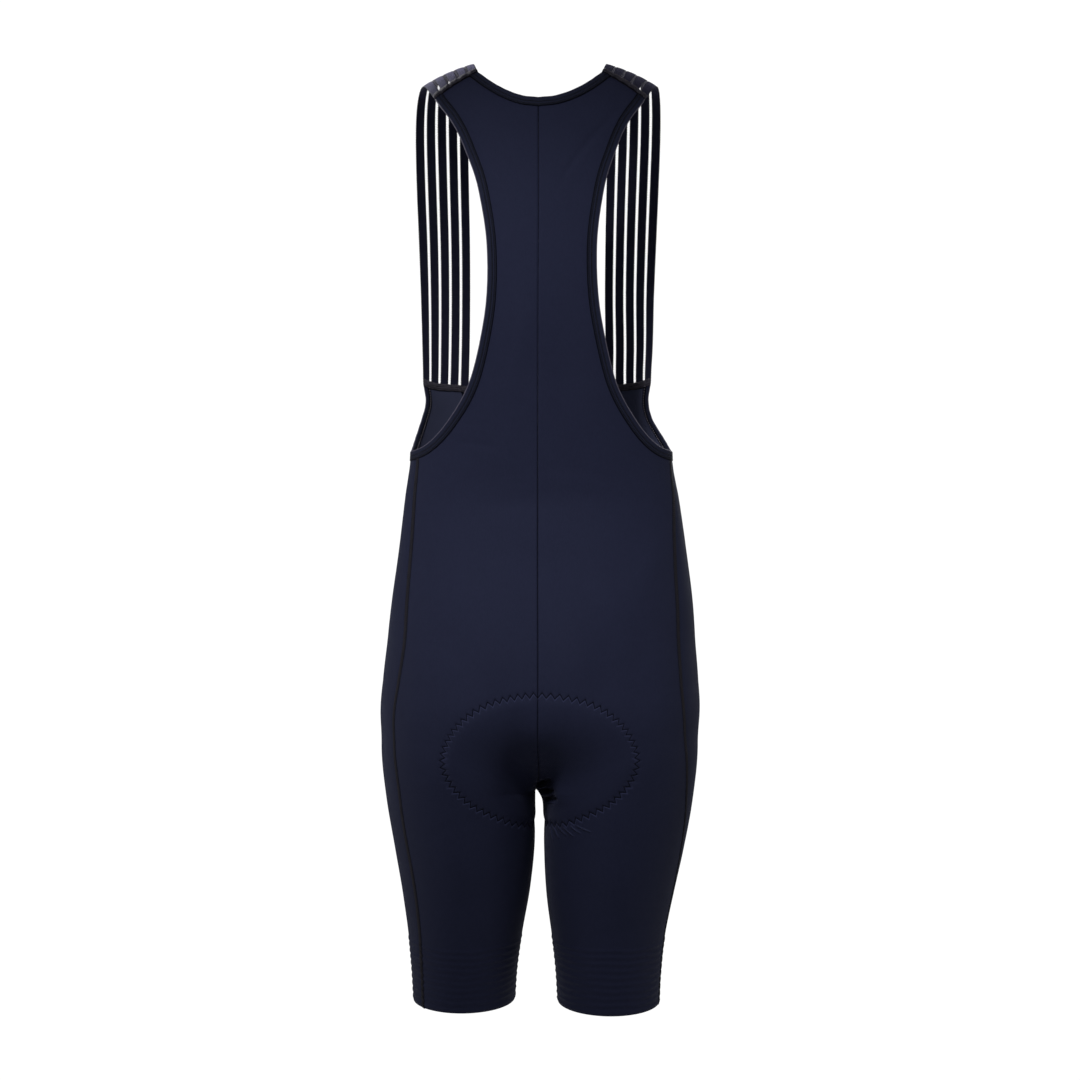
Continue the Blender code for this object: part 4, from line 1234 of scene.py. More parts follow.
side_lines = {}
for side in ("left", "right"):
    keys, starts, grid = panel_grids["back", side]
    line = grid[keys >= starts[1], -1]
    above = settle(line[0] + unit(line[0] - line[2]) * SEAM_START)
    side_lines[side] = np.vstack([above, line])
down_leg = {side: panel_grids["back", side][2][keys >= starts[4], 0] for side in MIRROR}
inner_leg = np.vstack([down_leg["right"][:0:-1] * OTHER_SIDE, down_leg["left"]])
at_side, at_leg = (SIDE_FLATLOCK, SIDE_RISE, SIDE_REACH), (INNER_FLATLOCK, INNER_RISE, INNER_REACH)
for name, line, mirror, (width, rise, reach) in (
    ("side_seam_left", side_lines["left"], MIRROR["left"], at_side),
    ("side_seam_right", side_lines["right"], MIRROR["right"], at_side),
    ("inner_leg_seam", inner_leg, MIRROR["left"], at_leg),
):
    flat_strip(name, line, width, STRIP_TOP, STRIP_FOOT, flatlock_cloth, mirror)
    row = row_of_stitches(line, rise, FLATLOCK_PITCH, width * reach, turn=FLATLOCK_TURN, mirror=mirror)
    thread = (FLATLOCK_THREAD, rise * FLATLOCK_FULLNESS)
    sewn(name + "_stitches", [row], flatlock_thread, *thread, mirror=mirror)
    allowance(name.replace("seam", "allowance"), line, mirror)

halves = []
for which in ("front", "back"):
    keys, starts, grid = panel_grids[which, "left"]
    line = grid[keys <= starts[4], 0].copy()
    line[:, 0] = 0.0
    halves.append(line)
allowance("centre_allowance", np.vstack([halves[0], halves[1][::-1][1:]]), MIRROR["left"])

# ------------------------------------------------------------ the zigzag round the seat pad
# The pad is sewn to the panels with one line of three-step zigzag that sinks into the
# padded cloth.

corner_places = np.interp(np.arange(0, teeth_before[-1], 0.5), teeth_before, pad_travel)
corner_reach = np.where(np.arange(len(corner_places)) % 2 == 0, -ZIGZAG_REACH, ZIGZAG_REACH)
corner_points = at_places(pad_edge, corner_places)
inner_side = np.stack([np.interp(corner_places, pad_travel, pad_outside[:, k]) for k in range(3)], -1)
corners = settle(corner_points + unit(inner_side) * corner_reach[:, None])
third = np.array((1 / 6, 0.5, 5 / 6))
legs = corners[1:] - corners[:-1]
points = settle((corners[:-1, None] + legs[:, None] * third[None, :, None]).reshape(-1, 3), 2)
ahead = unit(np.repeat(legs, 3, axis=0))
up = outward(points)
lengths = np.repeat(np.linalg.norm(legs, axis=1), 3) / 3 * STITCH_SHARE
rows = []
for flip in MIRROR.values():
    rise = soft_form(points * flip) + ZIGZAG_RISE
    rows.append(((points + up * rise[:, None]) * flip, ahead * flip, up * flip, lengths))
sewn("seat_zigzag_stitches", rows, black_thread, *ZIGZAG_THREAD)

# ------------------------------------------------------------ the elastic round the armholes and neck
# A 20 mm knitted elastic strip, folded over the raw edge of the panels and coverstitched:
# two lines of stitches outside, and the looper thread in a chain inside.

FOLD, FOLD_MIDDLE, FOLD_LINING = 0.00115, -0.0006, 0.0006
COVERSTITCH_PITCH, CHAIN_PITCH, LOOPER_PITCH = 0.0017, 0.0014, 0.0028
OUTER_HEIGHT, BODY_HEIGHT, CHAIN_HEIGHT, LOOPER_HEIGHT = 0.00056, 0.00052, -0.00212, -0.00245
COVERSTITCH, CHAIN_STITCH, LOOP = (
    # length, then width and height of the thread
    (0.00085, 0.0006, 0.0005),
    (0.0040, 0.0009, 0.0005),
    (0.0016, 0.0014, 0.0007),
)
OUTER_ROW, BODY_ROW, CHAIN_ROW = 0.0053, 0.0079, 0.0059
fold_turns = np.radians(np.linspace(90, 270, 9)[1:-1])
BAND_FACE = (
    # from the fold towards the body, height of the outside over the cloth
    (0.00985, 0.00016),
    (0.00980, 0.00040),
    (0.00945, 0.00056),
    (0.00880, 0.00060),
    (0.00830, 0.00052),
    (BODY_ROW, 0.00042),
    (0.00745, 0.00056),
    (0.00670, 0.00066),
    (0.00610, 0.00064),
    (0.00570, 0.00056),
    (OUTER_ROW, 0.00042),
    (0.00490, 0.00056),
    (0.00380, 0.00064),
    (0.00190, 0.00060),
    (FOLD, 0.00055),
)
BAND_BACK = (
    (FOLD, -0.00175),
    (0.00240, -0.00182),
    (0.00360, -0.00178),
    (0.00450, -0.00172),
    (CHAIN_ROW, -0.00168),
    (0.00700, -0.00172),
    (0.00780, -0.00176),
    (0.00805, -0.00152),
)


def lined(material, value, where, half_width, colour, share):
    """Adds a coloured line to a cloth, where a value of it is near one number."""
    tree = material.node_tree
    off = sum_of(tree, "ABSOLUTE", sum_of(tree, "SUBTRACT", value, where))
    tinted(material, ramp(tree, off, half_width * 0.6, half_width * 1.4, share, 0.0), colour)


edge_elastic = cloth_material(
    "edge_elastic", dark=(0.0120, 0.0138, 0.0290), light=(0.0175, 0.0200, 0.0405), roughness=0.6,
    sheen=0.05, wale=0.0011, course=0.0009, depth=0.25,
)
BAND_LINES_AND_PAINTED_LIGHT = (
    # from the fold, half_width, colour, share
    # Painted highlight: a pale lilac line along the fold's rounded edge.
    (0.0005, 0.0006, (0.098, 0.090, 0.128), 0.9),
    (OUTER_ROW, 0.0006, (0.0022, 0.0024, 0.0042), 0.95),
    (BODY_ROW, 0.0006, (0.0022, 0.0024, 0.0042), 0.95),
    # Painted shadow: a black line along the body-side edge, where the band meets the panel.
    (0.0095, 0.0006, (0.0010, 0.0010, 0.0016), 1.0),
    (-CHAIN_ROW, 0.0018, (0.0022, 0.0024, 0.0042), 0.9),
)
across_band = spot(edge_elastic.node_tree, "weave")[1]
for line in BAND_LINES_AND_PAINTED_LIGHT:
    lined(edge_elastic, across_band, *line)
# Painted highlight: the coverstitch thread is paler than the dark row beneath it, for the light caught on
# each stitch.
band_thread = thread_material(
    "band_thread", (0.0200, 0.0210, 0.0340), (0.0520, 0.0540, 0.0740), 0.6, 0.0, 0.1
)
# Painted highlight: the looper knots are pale where the chain's links catch the light; the chain's own
# thread is black.
looper_highlight_thread = thread_material(
    "looper_thread_highlights", (0.095, 0.088, 0.112), (0.270, 0.250, 0.310), 0.45, 0.1, 0.2
)


def folded_elastic(name, edge, inner, mirror):
    """The folded strip along an edge of the panels, with its stitches."""
    fold = [(FOLD + FOLD * math.cos(t), FOLD_MIDDLE + FOLD * math.sin(t)) for t in fold_turns]
    outside = list(BAND_FACE) + fold + list(BAND_BACK)
    lining = [(a, 0.00008) for a, _ in BAND_FACE]
    lining += [
        (FOLD + FOLD_LINING * math.cos(t), FOLD_MIDDLE + 1.1 * FOLD_LINING * math.sin(t)) for t in fold_turns
    ]
    lining += [(a, -0.00130) for a, _ in BAND_BACK]
    signs = [1] * len(BAND_FACE) + list(np.sign(np.sin(fold_turns) + 1e-9)) + [-1] * len(BAND_BACK)
    section = np.array(outside + lining[::-1])
    v = np.array([a * s for (a, _), s in zip(outside, signs)])
    v = np.concatenate([v, v[::-1]])
    share = (section[:, 0] / BAND_WIDTH)[None, :, None]
    base = settle(edge[:, None] * (1 - share) + inner[:, None] * share, 3)
    place = travelled(edge)[:, None]
    ripple = 0.00010 * np.sin(place / 0.0021 + 1.5 * np.sin(place / 0.017)) * (1 - section[:, 0] / 0.012)
    rings = base + outward(base) * (section[:, 1] + ripple)[..., None]
    points = rings.reshape(-1, 3) * mirror
    faces = outside_out(points, strip_faces(len(rings), len(section)))
    u = np.broadcast_to(place, rings.shape[:2])
    uv = np.stack([u, np.broadcast_to(v, u.shape)], -1).reshape(-1, 2)
    item = new_piece(name + "_elastic", points, faces, edge_elastic, {"weave": uv}, sharp=50)
    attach(item, "root")
    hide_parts(name)

    outer_row, body_row, chain_row = (
        settle(edge * (1 - distance / BAND_WIDTH) + inner * (distance / BAND_WIDTH), 3)
        for distance in (OUTER_ROW, BODY_ROW, CHAIN_ROW)
    )
    rows = [
        row_of_stitches(outer_row, OUTER_HEIGHT, COVERSTITCH_PITCH, COVERSTITCH[0]),
        row_of_stitches(body_row, BODY_HEIGHT, COVERSTITCH_PITCH, COVERSTITCH[0], start=0.8),
    ]
    chain = row_of_stitches(
        chain_row, CHAIN_HEIGHT, CHAIN_PITCH, CHAIN_STITCH[0], turn=62, other_turn=118
    )
    knots = row_of_stitches(chain_row, LOOPER_HEIGHT, LOOPER_PITCH, LOOP[0], turn=70)
    sewing = [
        sewn(name + "_stitches", rows, band_thread, *COVERSTITCH[1:], mirror=mirror),
        sewn(name + "_chain", [chain], black_thread, *CHAIN_STITCH[1:], mirror=mirror),
        sewn(name + "_loops", [knots], looper_highlight_thread, *LOOP[1:], mirror=mirror),
    ]
    return item


bands = {}
for side in ("left", "right"):
    edge, inner = armhole_lines(side, 12)
    name = "armhole_band_" + side
    bands[name] = folded_elastic(name, edge, inner, MIRROR[side])
for which, table in (("back", BACK_NECK), ("front", FRONT_NECK)):
    edge = neck_edge(table, FACE[which], 48)
    arm = armhole_edge(1)
    shoulder_end = arm[0] if which == "back" else arm[-1]
    inner = spaced(inset(edge, BAND_WIDTH, FACE[which], DOWN, shoulder_end - edge[-1]), 48)
    edge, inner = (np.vstack([half[:0:-1] * OTHER_SIDE, half]) for half in (edge, inner))
    name = "neck_band_" + which
    bands[name] = folded_elastic(name, edge, inner, MIRROR["left"])

# ------------------------------------------------------------ the straps
# Striped elastic, 51 mm wide: five dark woven bands, and between them four stripes where
# only fine clear filaments run across. It goes from the shoulder seam to the front.

BANDS_OF_STRAP, BAND_SHARE, STRIPE_SHARE = 5, 0.1560, 0.0550
STRAP_WIDTH = 0.051
STRAP_PIVOT = -0.090
STRAP_FRONT_X = (0.0712, 0.1232)
STRAP_CLOTH = 0.0011
STRAP_ROWS = (84, 92)
STRIPE_PITCH = BAND_SHARE + STRIPE_SHARE
EDGE_LOOP_PITCH, EDGE_LOOP_LENGTH, EDGE_LOOP_THREAD = 0.0024, 0.0018, (0.0007, 0.0009)
FILAMENT_PITCH, FILAMENT_LENGTH, FILAMENT = 0.0016, 0.0046, (0.00022, 0.00016, 0.02)


def strap_lines(across, over_rows, down_rows):
    """Lines of the left strap at some shares of its width, from shoulder to chest."""
    neck_back, neck_front = strap_corners()
    arm = armhole_edge(1)
    shares = across[:, None]
    seam = settle(neck_back * (1 - shares) + arm[0] * shares)
    ending = settle(neck_front * (1 - shares) + arm[-1] * shares)
    chest_x = STRAP_FRONT_X[0] * (1 - across) + STRAP_FRONT_X[1] * across
    first_turn = np.arctan2(seam[:, 2] - STRAP_PIVOT, seam[:, 1])
    t = np.linspace(0, 1, over_rows + 1)[:, None]
    turn = first_turn + (math.pi - first_turn) * t
    x = seam[:, 0] + (chest_x - seam[:, 0]) * (1 - (1 - t) ** 4)
    start = np.stack([x, 0 * x, np.full_like(x, STRAP_PIVOT)], -1)
    over = shoot(start, np.stack([0 * x, np.cos(turn), np.sin(turn)], -1))
    t = np.linspace(0, 1, down_rows + 1)[1:, None]
    x = chest_x + (ending[:, 0] - chest_x) * t**2
    height = STRAP_PIVOT + (ending[:, 2] - STRAP_PIVOT) * t
    down = shoot(np.stack([x, 0 * x, height], -1), np.array([0.0, -1.0, 0.0]))
    return np.vstack([over, down])


striped_elastic = cloth_material(
    "striped_elastic", dark=(0.0085, 0.0088, 0.0190), light=(0.0190, 0.0190, 0.0390), roughness=0.78,
    sheen=0.38, wale=0.0009, course=0.0012, depth=0.3,
)
elastic_edge = thread_material("elastic_edge", (0.0040, 0.0042, 0.0090), (0.0105, 0.0108, 0.0230), 0.7, 0.3)
clear_filament = thread_material("clear_filament", (0.62, 0.60, 0.70), (0.80, 0.78, 0.88), 0.4, 0.2, 0.3)
for material, socket, value in (
    (striped_elastic, "Sheen Tint", (0.66, 0.63, 1.0, 1)), (clear_filament, "Alpha", 0.45)
):
    material.node_tree.nodes["Principled BSDF"].inputs[socket].default_value = value

RIBBON_SECTION = (
    # share of the ribbon's width, height over the middle of its thickness
    (0.000, -0.00020), (0.020, 0.00020), (0.070, 0.00045), (0.160, 0.00040), (0.260, 0.00052),
    (0.500, 0.00055), (0.740, 0.00052), (0.840, 0.00040), (0.930, 0.00045), (0.980, 0.00020),
    (1.000, -0.00020),
)
section = np.array(RIBBON_SECTION)
for side in ("left", "right"):
    mirror = MIRROR[side]
    points, faces, uvs, edge_lines = np.zeros((0, 3)), [], [], []
    for ribbon in range(BANDS_OF_STRAP):
        first = ribbon * STRIPE_PITCH
        lines = strap_lines(first + BAND_SHARE * section[:, 0], *STRAP_ROWS)
        height = section[:, 1] - STRAP_CLOTH / 2
        place = travelled(lines[:, 5])[:, None]
        ripple = 0.00006 * np.sin(place / 0.0019 + ribbon) * np.cos(place / 0.0143 + 2 * ribbon)
        normal = outward(lines)
        top = lines + normal * (height + ripple)[..., None]
        low_height = -STRAP_CLOTH / 2 - section[:, 1]
        under = lines + normal * (np.minimum(low_height, height - 0.0001) + ripple)[..., None]
        rings = np.concatenate([top, under[:, ::-1]], 1)
        some = strip_faces(len(rings), rings.shape[1])
        some = outside_out(rings.reshape(-1, 3) * mirror, some)
        faces += [[i + len(points) for i in face] for face in some]
        points = np.vstack([points, rings.reshape(-1, 3) * mirror])
        width = np.linalg.norm(lines[:, -1] - lines[:, 0], axis=1)[:, None]
        v = np.r_[section[:, 0], section[::-1, 0]] * width + first * 0.37
        uvs.append(np.stack([np.broadcast_to(place, v.shape), v], -1).reshape(-1, 2))
        edge_lines += [lines[:, 0], lines[:, -1]]
    weave = {"weave": np.vstack(uvs)}
    strap = new_piece(f"strap_{side}_elastic", points, faces, striped_elastic, weave, sharp=50)
    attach(strap, "root")
    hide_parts("strap_" + side)
    rows = [
        row_of_stitches(line, -STRAP_CLOTH / 2, EDGE_LOOP_PITCH, EDGE_LOOP_LENGTH) for line in edge_lines
    ]
    loops = sewn(f"strap_{side}_edge_loops", rows, elastic_edge, *EDGE_LOOP_THREAD, mirror=mirror)
    rows = []
    for stripe in range(BANDS_OF_STRAP - 1):
        first = stripe * STRIPE_PITCH + BAND_SHARE
        middle = strap_lines(np.array([first + STRIPE_SHARE / 2]), *STRAP_ROWS)[:, 0]
        rows.append(row_of_stitches(
            middle, -STRAP_CLOTH / 2, FILAMENT_PITCH, FILAMENT_LENGTH, turn=80, other_turn=100
        ))
    filaments = sewn(f"strap_{side}_filaments", rows, clear_filament, *FILAMENT, mirror)
    long = travelled(strap_lines(np.array([0.5]), *STRAP_ROWS)[:, 0])[-1]
    whole = STRAP_WIDTH * long * BANDS_OF_STRAP * BAND_SHARE

# ------------------------------------------------------------ the strap seams
# The shoulder seam's allowance stands outside as a thick overlocked ridge, and the one
# below the straps lies inside the front.

RIDGE_WIDTH, RIDGE_HEIGHT = 0.0060, 0.0029
FRONT_RIDGE_WIDTH, FRONT_RIDGE_HEIGHT = 0.0076, 0.0017
STRIPE_THICKNESS = 0.42
RIDGE_STITCH_PITCH, RIDGE_STITCH_LEAN = 0.00115, 0.004
RIDGE_THREAD = (0.00105, 0.0008, 0.35)


def overlocked_ridge(name, line, width, foot, height, face, mirror):
    """A rounded ridge of folded cloth, wrapped in overlock thread."""
    line = spaced(line, 60)
    up, side = cross_section(line)
    turns = np.linspace(0, math.pi, 11)
    place = np.linspace(0, 1, len(line))
    thick = np.where(place % STRIPE_PITCH < BAND_SHARE, 1.0, STRIPE_THICKNESS)
    thick = np.convolve(np.pad(thick, 2, mode="edge"), np.ones(5) / 5, mode="valid")
    thick = thick * (1 + 0.07 * np.sin(place * 41) * np.cos(place * 17))
    across = -np.cos(turns)[None, :] * width / 2 * (0.94 + 0.06 * np.sin(place * 33))[:, None]
    rise = foot + face * np.sin(turns)[None, :] ** 0.6 * height * thick[:, None]
    top = line[:, None] + side[:, None] * across[..., None] + up[:, None] * rise[..., None]
    low = line[:, None] + side[:, None] * across[..., None] + up[:, None] * (foot - face * 0.0002)
    rings = np.concatenate([top, low[:, ::-1]], 1)
    points = rings.reshape(-1, 3) * mirror
    faces = outside_out(points, strip_faces(len(rings), rings.shape[1]))
    u = np.broadcast_to(travelled(line)[:, None], rings.shape[:2])
    v = np.broadcast_to(np.r_[turns, turns[::-1]] * width / 3, u.shape)
    weave = np.stack([u, v], -1).reshape(-1, 2)
    item = new_piece(name, points, faces, ridge_cloth, {"weave": weave}, sharp=60)
    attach(item, "root")
    rows = []
    total = travelled(line)[-1]
    at = np.arange(0.0005, total, RIDGE_STITCH_PITCH) / total

    def reading(values, shift=0.0):
        return np.stack([np.interp(at + shift, place, values[:, j]) for j in range(3)], -1)

    for k in (1, 3, 5, 7):
        shift = RIDGE_STITCH_LEAN * k
        first, last = reading(top[:, k], shift), reading(top[:, k + 2], shift + 2 * RIDGE_STITCH_LEAN)
        middle, ahead = (first + last) / 2, last - first
        normal = reading(up) * face
        lean = unit(ahead)
        normal = unit(normal - lean * np.sum(normal * lean, -1)[:, None])
        rows.append((middle + normal * 0.0001, lean, normal, np.linalg.norm(ahead, axis=1) * 1.25))
    sewn(name + "_stitches", rows, warm_thread, *RIDGE_THREAD, mirror)
    return item


warm_thread = thread_material(
    "overlock_loops", (0.0140, 0.0130, 0.0180), (0.094, 0.086, 0.118), 0.5, 0.05, 0.15
)
ridge_cloth = cloth_material(
    "ridge_cloth", dark=(0.0092, 0.0088, 0.0128), light=(0.0255, 0.0242, 0.0335), roughness=0.7,
    sheen=0.0, wale=0.0012, course=0.0011, depth=0.9,
)
for side in ("left", "right"):
    mirror = MIRROR[side]
    ends = strap_lines(np.linspace(0, 1, 30), 1, 1)
    overlocked_ridge(f"shoulder_seam_{side}", ends[0], RIDGE_WIDTH, 0.0, RIDGE_HEIGHT, 1.0, mirror)
    overlocked_ridge(
        f"front_strap_seam_{side}", ends[-1], FRONT_RIDGE_WIDTH, -CLOTH, FRONT_RIDGE_HEIGHT, -1.0, mirror
    )

# ------------------------------------------------------------ the seat pad
# Moulded foam between two layers of brushed cloth, thin and pressed flat at its rim,
# with soft channels on the side towards the rider.

PAD_RIM, PAD_MIDDLE, PAD_GAP = 0.0020, 0.0080, 0.0026
PAD_ROWS, PAD_COLUMNS = 110, 22
CHANNEL_DEPTH, MIDDLE_CHANNEL, SIDE_CHANNEL, SIDE_PLACE, CROSS_PLACE = 0.0024, 0.0045, 0.0040, 0.4, 0.035


def pad_form():
    """The pad's surface across both halves, its thickness and its cloth directions."""
    line, crotch = middle_line()
    places = np.linspace(SEAT_PAD[-1][0], SEAT_PAD[0][0], PAD_ROWS + 1)
    middle = at_places(line, places + crotch)
    half_width = smooth_columns(SEAT_PAD, places)[0]
    sideways = np.tile([1.0, 0.0, 0.0], (len(places), 1))
    shares = np.linspace(0, 1, PAD_COLUMNS + 1)[1:] ** 0.9
    out = [walk(middle, sideways, half_width * share) for share in shares]
    grid = np.stack([p * OTHER_SIDE for p in reversed(out)] + [middle] + out, 1)
    across = np.concatenate([-shares[::-1], [0], shares])[None, :] * half_width[:, None]
    share = np.abs(np.concatenate([shares[::-1], [0], shares]))[None, :]
    along = np.abs(np.linspace(-1, 1, len(places)))[:, None]
    swell = (1 - share**3) * (1 - along**4)
    thick = PAD_RIM + (PAD_MIDDLE - PAD_RIM) * swell
    down = places[:, None]
    inner_channel = np.exp(-((np.abs(across) / MIDDLE_CHANNEL) ** 2)) * ease((down + 0.12) / 0.04)
    side_channel = np.exp(-(((np.abs(across) - SIDE_PLACE * half_width[:, None]) / SIDE_CHANNEL) ** 2))
    side_channel = side_channel * ease((down + 0.13) / 0.03) * ease((0.10 - down) / 0.03)
    cross_channel = np.exp(-(((down - CROSS_PLACE) / SIDE_CHANNEL) ** 2)) * (share < 0.9)
    thick = thick - CHANNEL_DEPTH * swell * np.clip(inner_channel + side_channel + cross_channel, 0, 1)
    return grid, thick, across, places


pad_cloth = cloth_material(
    "pad_cloth", dark=(0.0150, 0.0165, 0.0300), light=(0.0260, 0.0275, 0.0440), roughness=0.8,
    sheen=0.4, wale=0.0014, course=0.0014, depth=0.25,
)
grid, thick, across, places = pad_form()
up = outward(grid)
face_side = grid - up * (CLOTH + PAD_GAP)
rider_side = face_side - up * thick[..., None]
rows, columns = grid.shape[:2]
rim = border(rows, columns)
index = np.arange(rows * columns).reshape(rows, columns)
faces = [np.stack([index[:-1, :-1], index[:-1, 1:], index[1:, 1:], index[1:, :-1]], -1).reshape(-1, 4)]
low = index + rows * columns
faces.append(np.stack([low[:-1, :-1], low[1:, :-1], low[1:, 1:], low[:-1, 1:]], -1).reshape(-1, 4))
a, b = index[rim[:, 0], rim[:, 1]], low[rim[:, 0], rim[:, 1]]
faces.append(np.stack([np.roll(a, -1), a, b, np.roll(b, -1)], -1))
faces = np.vstack(faces).tolist()
points = np.vstack([face_side.reshape(-1, 3), rider_side.reshape(-1, 3)])
faces = outside_out(points, faces)
uv = np.stack([across, np.broadcast_to(places[:, None], across.shape)], -1).reshape(-1, 2)
seat_pad = new_piece("seat_pad_foam", points, faces, pad_cloth, {"weave": np.vstack([uv, uv])})
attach(seat_pad, "root")
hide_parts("seat_pad")

# ------------------------------------------------------------ how the empty garment hangs
# With no wearer in it the cloth hangs a little askew: the back has slipped to one side,
# the middle seam to the other, and the straps lean. Every piece moves with it.

ASKEW_BACK = (
    # height, shift of the middle on the left, on the right, shift of the sides
    (0.020, 0.0016, 0.0016, 0.0000),
    (-0.043, 0.0016, 0.0016, 0.0000),
    (-0.138, 0.0014, 0.0014, -0.0013),
    (-0.232, 0.0019, 0.0019, -0.0026),
    (-0.280, 0.0020, 0.0020, -0.0028),
    (-0.327, 0.0021, 0.0021, -0.0024),
    (-0.394, 0.0022, 0.0022, -0.0014),
    (-0.420, 0.0022, 0.0022, -0.0020),
    (-0.470, 0.0023, 0.0023, -0.0026),
    (-0.517, 0.0022, 0.0022, -0.0023),
    (-0.564, 0.0020, 0.0020, -0.0013),
    (-0.612, 0.0021, 0.0021, -0.0004),
    (-0.659, 0.0021, 0.0021, 0.0003),
    (-0.694, 0.0022, 0.0022, 0.0003),
    (-0.700, 0.0034, 0.0034, 0.0003),
    (-0.7029, 0.0043, 0.0040, 0.0003),
    (-0.705, 0.0040, 0.0034, 0.0003),
    (-0.708, 0.0032, 0.0028, 0.0003),
    (-0.710, 0.0029, 0.0021, 0.0003),
    (-0.713, 0.0028, 0.0010, 0.0003),
    (-0.716, 0.0027, 0.0001, 0.0003),
    (-0.720, 0.0026, -0.0005, 0.0003),
    (-0.732, 0.0020, -0.0008, 0.0003),
    (-0.760, 0.0010, 0.0002, 0.0005),
    (-0.801, 0.0018, 0.0017, 0.0014),
    (-0.839, 0.0029, 0.0030, 0.0027),
    (-0.860, 0.0033, 0.0033, 0.0033),
    (-0.930, 0.0037, 0.0037, 0.0037),
)
ASKEW_FRONT = (
    # height, shift, spread for each metre from the middle
    (0.020, 0.00210, 0.026),
    (-0.030, 0.00210, 0.026),
    (-0.100, 0.00240, 0.015),
    (-0.155, 0.00245, 0.0015),
    (-0.207, 0.00260, -0.011),
    (-0.260, 0.00255, -0.0195),
    (-0.290, 0.00300, -0.028),
    (-0.312, 0.00300, -0.028),
    (-0.333, 0.00320, -0.007),
    (-0.354, 0.00110, 0.012),
    (-0.374, -0.00080, 0.000),
)
FRONT_FOOT = (-0.396, -0.370)
MIDDLE_REACH = 0.030
# How far the cloth drops: at the crotch, below the arms, and at the right hem.
CROTCH_DROP, CROTCH_HEIGHT, CROTCH_TALL, CROTCH_WIDE = 0.0045, -0.700, 0.015, 0.021
ARM_DROP_LEFT, ARM_DROP_RIGHT, ARM_HEIGHT, ARM_TALL, ARM_SIDE = 0.0048, 0.0036, -0.303, 0.035, 0.080
HEM_DROP, HEM_START, HEM_REACH = 0.0028, -0.86, 0.05


def hung(points):
    """Points of the worn shape, moved as the cloth hangs askew."""
    x, y, z = points.T
    left, right, sides = smooth_columns(ASKEW_BACK, z)
    middle = (left + right) / 2 + (left - right) / 2 * np.tanh(x / 0.001)
    behind = sides + (middle - sides) * np.exp(-((x / MIDDLE_REACH) ** 2))
    shift, spread = smooth_columns(ASKEW_FRONT, z)
    before = shift + x * spread
    facing = ease((0.02 - y) / 0.08)
    share = facing * ease((z - FRONT_FOOT[0]) / (FRONT_FOOT[1] - FRONT_FOOT[0]))
    over = behind * (1 - share) + before * share
    drop = CROTCH_DROP * np.exp(-(((z - CROTCH_HEIGHT) / CROTCH_TALL) ** 2) - (x / CROTCH_WIDE) ** 2)
    beside = facing * ease((np.abs(x) - ARM_SIDE) / ARM_TALL) * np.exp(-(((z - ARM_HEIGHT) / ARM_TALL) ** 2))
    drop += np.where(x > 0, ARM_DROP_LEFT, ARM_DROP_RIGHT) * beside
    drop += HEM_DROP * ease((HEM_START - z) / HEM_REACH) * (x < 0)
    return np.stack([x + over, y, z - drop], -1)


for item in pieces:
    places = np.zeros(3 * len(item.data.vertices), np.float32)
    item.data.vertices.foreach_get("co", places)
    places = hung(places.reshape(-1, 3).astype(float)).astype(np.float32)
    item.data.vertices.foreach_set("co", places.ravel())
    item.data.update()

# ------------------------------------------------------------ the studio
# A white room with its floor where a standing wearer's would be. A soft spot lights the
# back from above, a narrow one the left shoulder, and weak soft boxes the sides and front.

FLOOR, FLOOR_RADIUS = -1.42, 1.25


def brighter_for_the_eye(tree, seen_strength, light_strength):
    """A strength that is one number for what the camera sees, another for the light."""
    seen = wire(tree, "ShaderNodeLightPath").outputs["Is Camera Ray"]
    more = sum_of(tree, "MULTIPLY", seen, seen_strength - light_strength)
    return sum_of(tree, "ADD", more, light_strength)


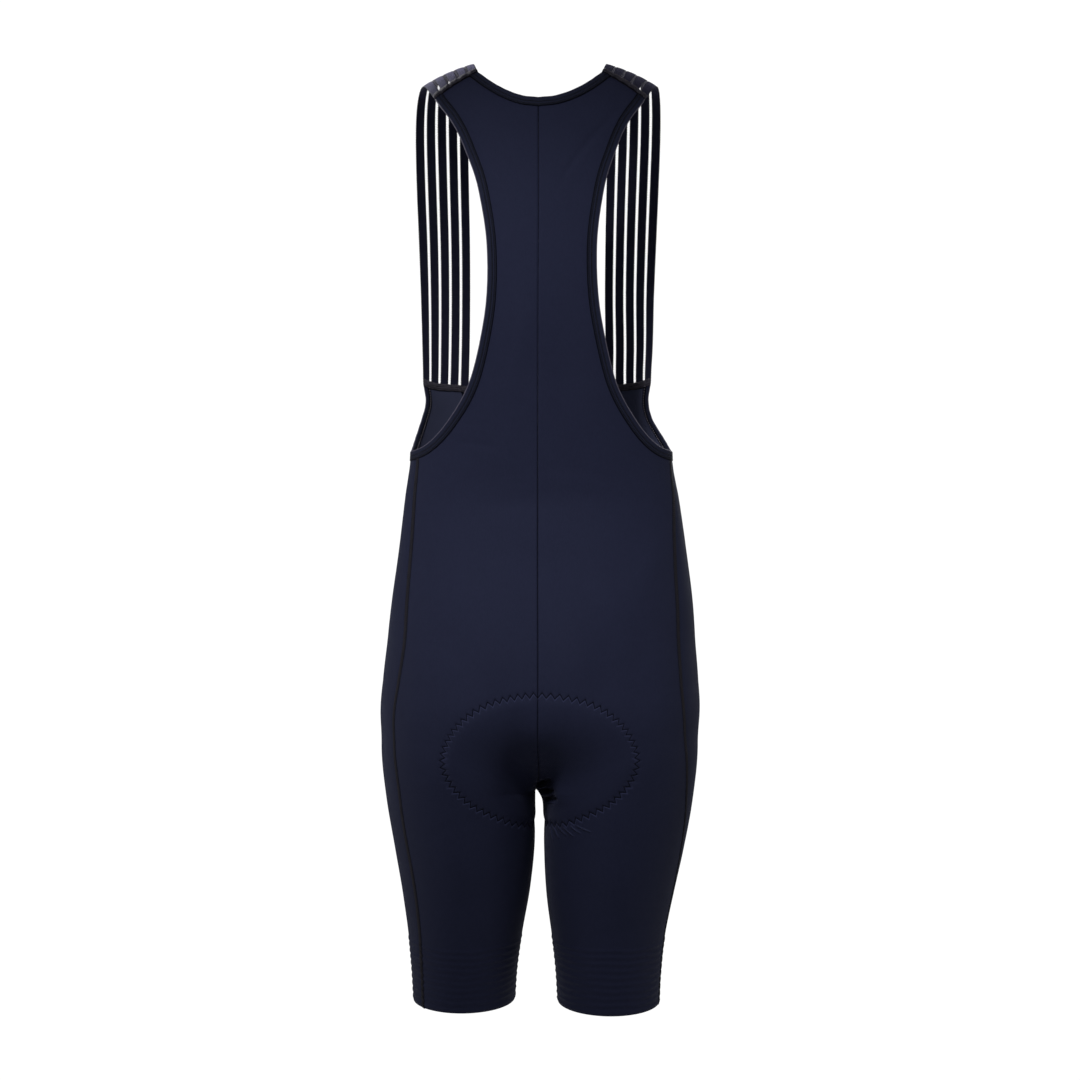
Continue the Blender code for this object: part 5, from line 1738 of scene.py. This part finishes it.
pale_floor, floor_tree, shader = new_material("pale_floor")
shader.inputs["Base Color"].default_value = (0.85, 0.85, 0.86, 1)
shader.inputs["Roughness"].default_value = 0.9
shader.inputs["Emission Color"].default_value = (1, 1, 1, 1)
floor_tree.links.new(brighter_for_the_eye(floor_tree, 0.62, 0.0), shader.inputs["Emission Strength"])
turns = np.linspace(0, 2 * math.pi, 97)[:-1]
disc = [(FLOOR_RADIUS * math.cos(t), FLOOR_RADIUS * math.sin(t), FLOOR) for t in turns]
floor_mesh = bpy.data.meshes.new("studio_floor")
floor_mesh.from_pydata(disc, [], [tuple(range(len(disc)))])
floor_mesh.materials.append(pale_floor)
studio_floor = bpy.data.objects.new("studio_floor", floor_mesh)
bpy.context.scene.collection.objects.link(studio_floor)

world = bpy.data.worlds.new("studio_air")
bpy.context.scene.world = world
world.use_nodes = True
background = world.node_tree.nodes["Background"]
background.inputs["Color"].default_value = (1, 1, 1, 1)
strength = brighter_for_the_eye(world.node_tree, 1.05, 0.16)
world.node_tree.links.new(strength, background.inputs["Strength"])


def soft_light(name, place, aim, power, size=None, cone=None):
    """A soft box of a size in metres, or a soft spot with a cone in degrees."""
    data = bpy.data.lights.new(name, "SPOT" if cone else "AREA")
    data.energy = power
    if cone:
        data.spot_size, data.spot_blend, data.shadow_soft_size = math.radians(cone), 1.0, 0.12
    else:
        data.shape, data.size, data.size_y = "RECTANGLE", size[0], size[1]
    light = bpy.data.objects.new(name, data)
    bpy.context.scene.collection.objects.link(light)
    light.location = place
    toward = Vector(aim) - Vector(place)
    light.rotation_euler = toward.to_track_quat("-Z", "Y").to_euler()


soft_light("key_light", (0.42, 1.35, 0.70), (-0.02, 0.09, -0.40), 82, cone=29)
soft_light("shoulder_light", (1.50, -1.10, 0.75), (0.105, 0.0, -0.01), 290, cone=11)
soft_light("side_light", (1.6, 0.00, -0.35), (0, 0, -0.45), 4, size=(0.5, 1.1))
soft_light("far_side_light", (-1.7, 0.25, -0.3), (0, 0, -0.5), 3, size=(0.5, 1.1))
soft_light("front_light", (-0.9, -1.9, 0.4), (0, 0, -0.5), 14, size=(0.8, 0.8))

camera_data = bpy.data.cameras.new("camera")
camera_data.lens, camera_data.sensor_width = 57.23, 36
camera = bpy.data.objects.new("camera", camera_data)
bpy.context.scene.collection.objects.link(camera)
camera.location = (0.0, 1.717, -0.460)
camera.rotation_euler = (math.radians(90), 0, math.radians(180))
bpy.context.scene.camera = camera
bpy.context.scene.view_settings.view_transform = "Standard"
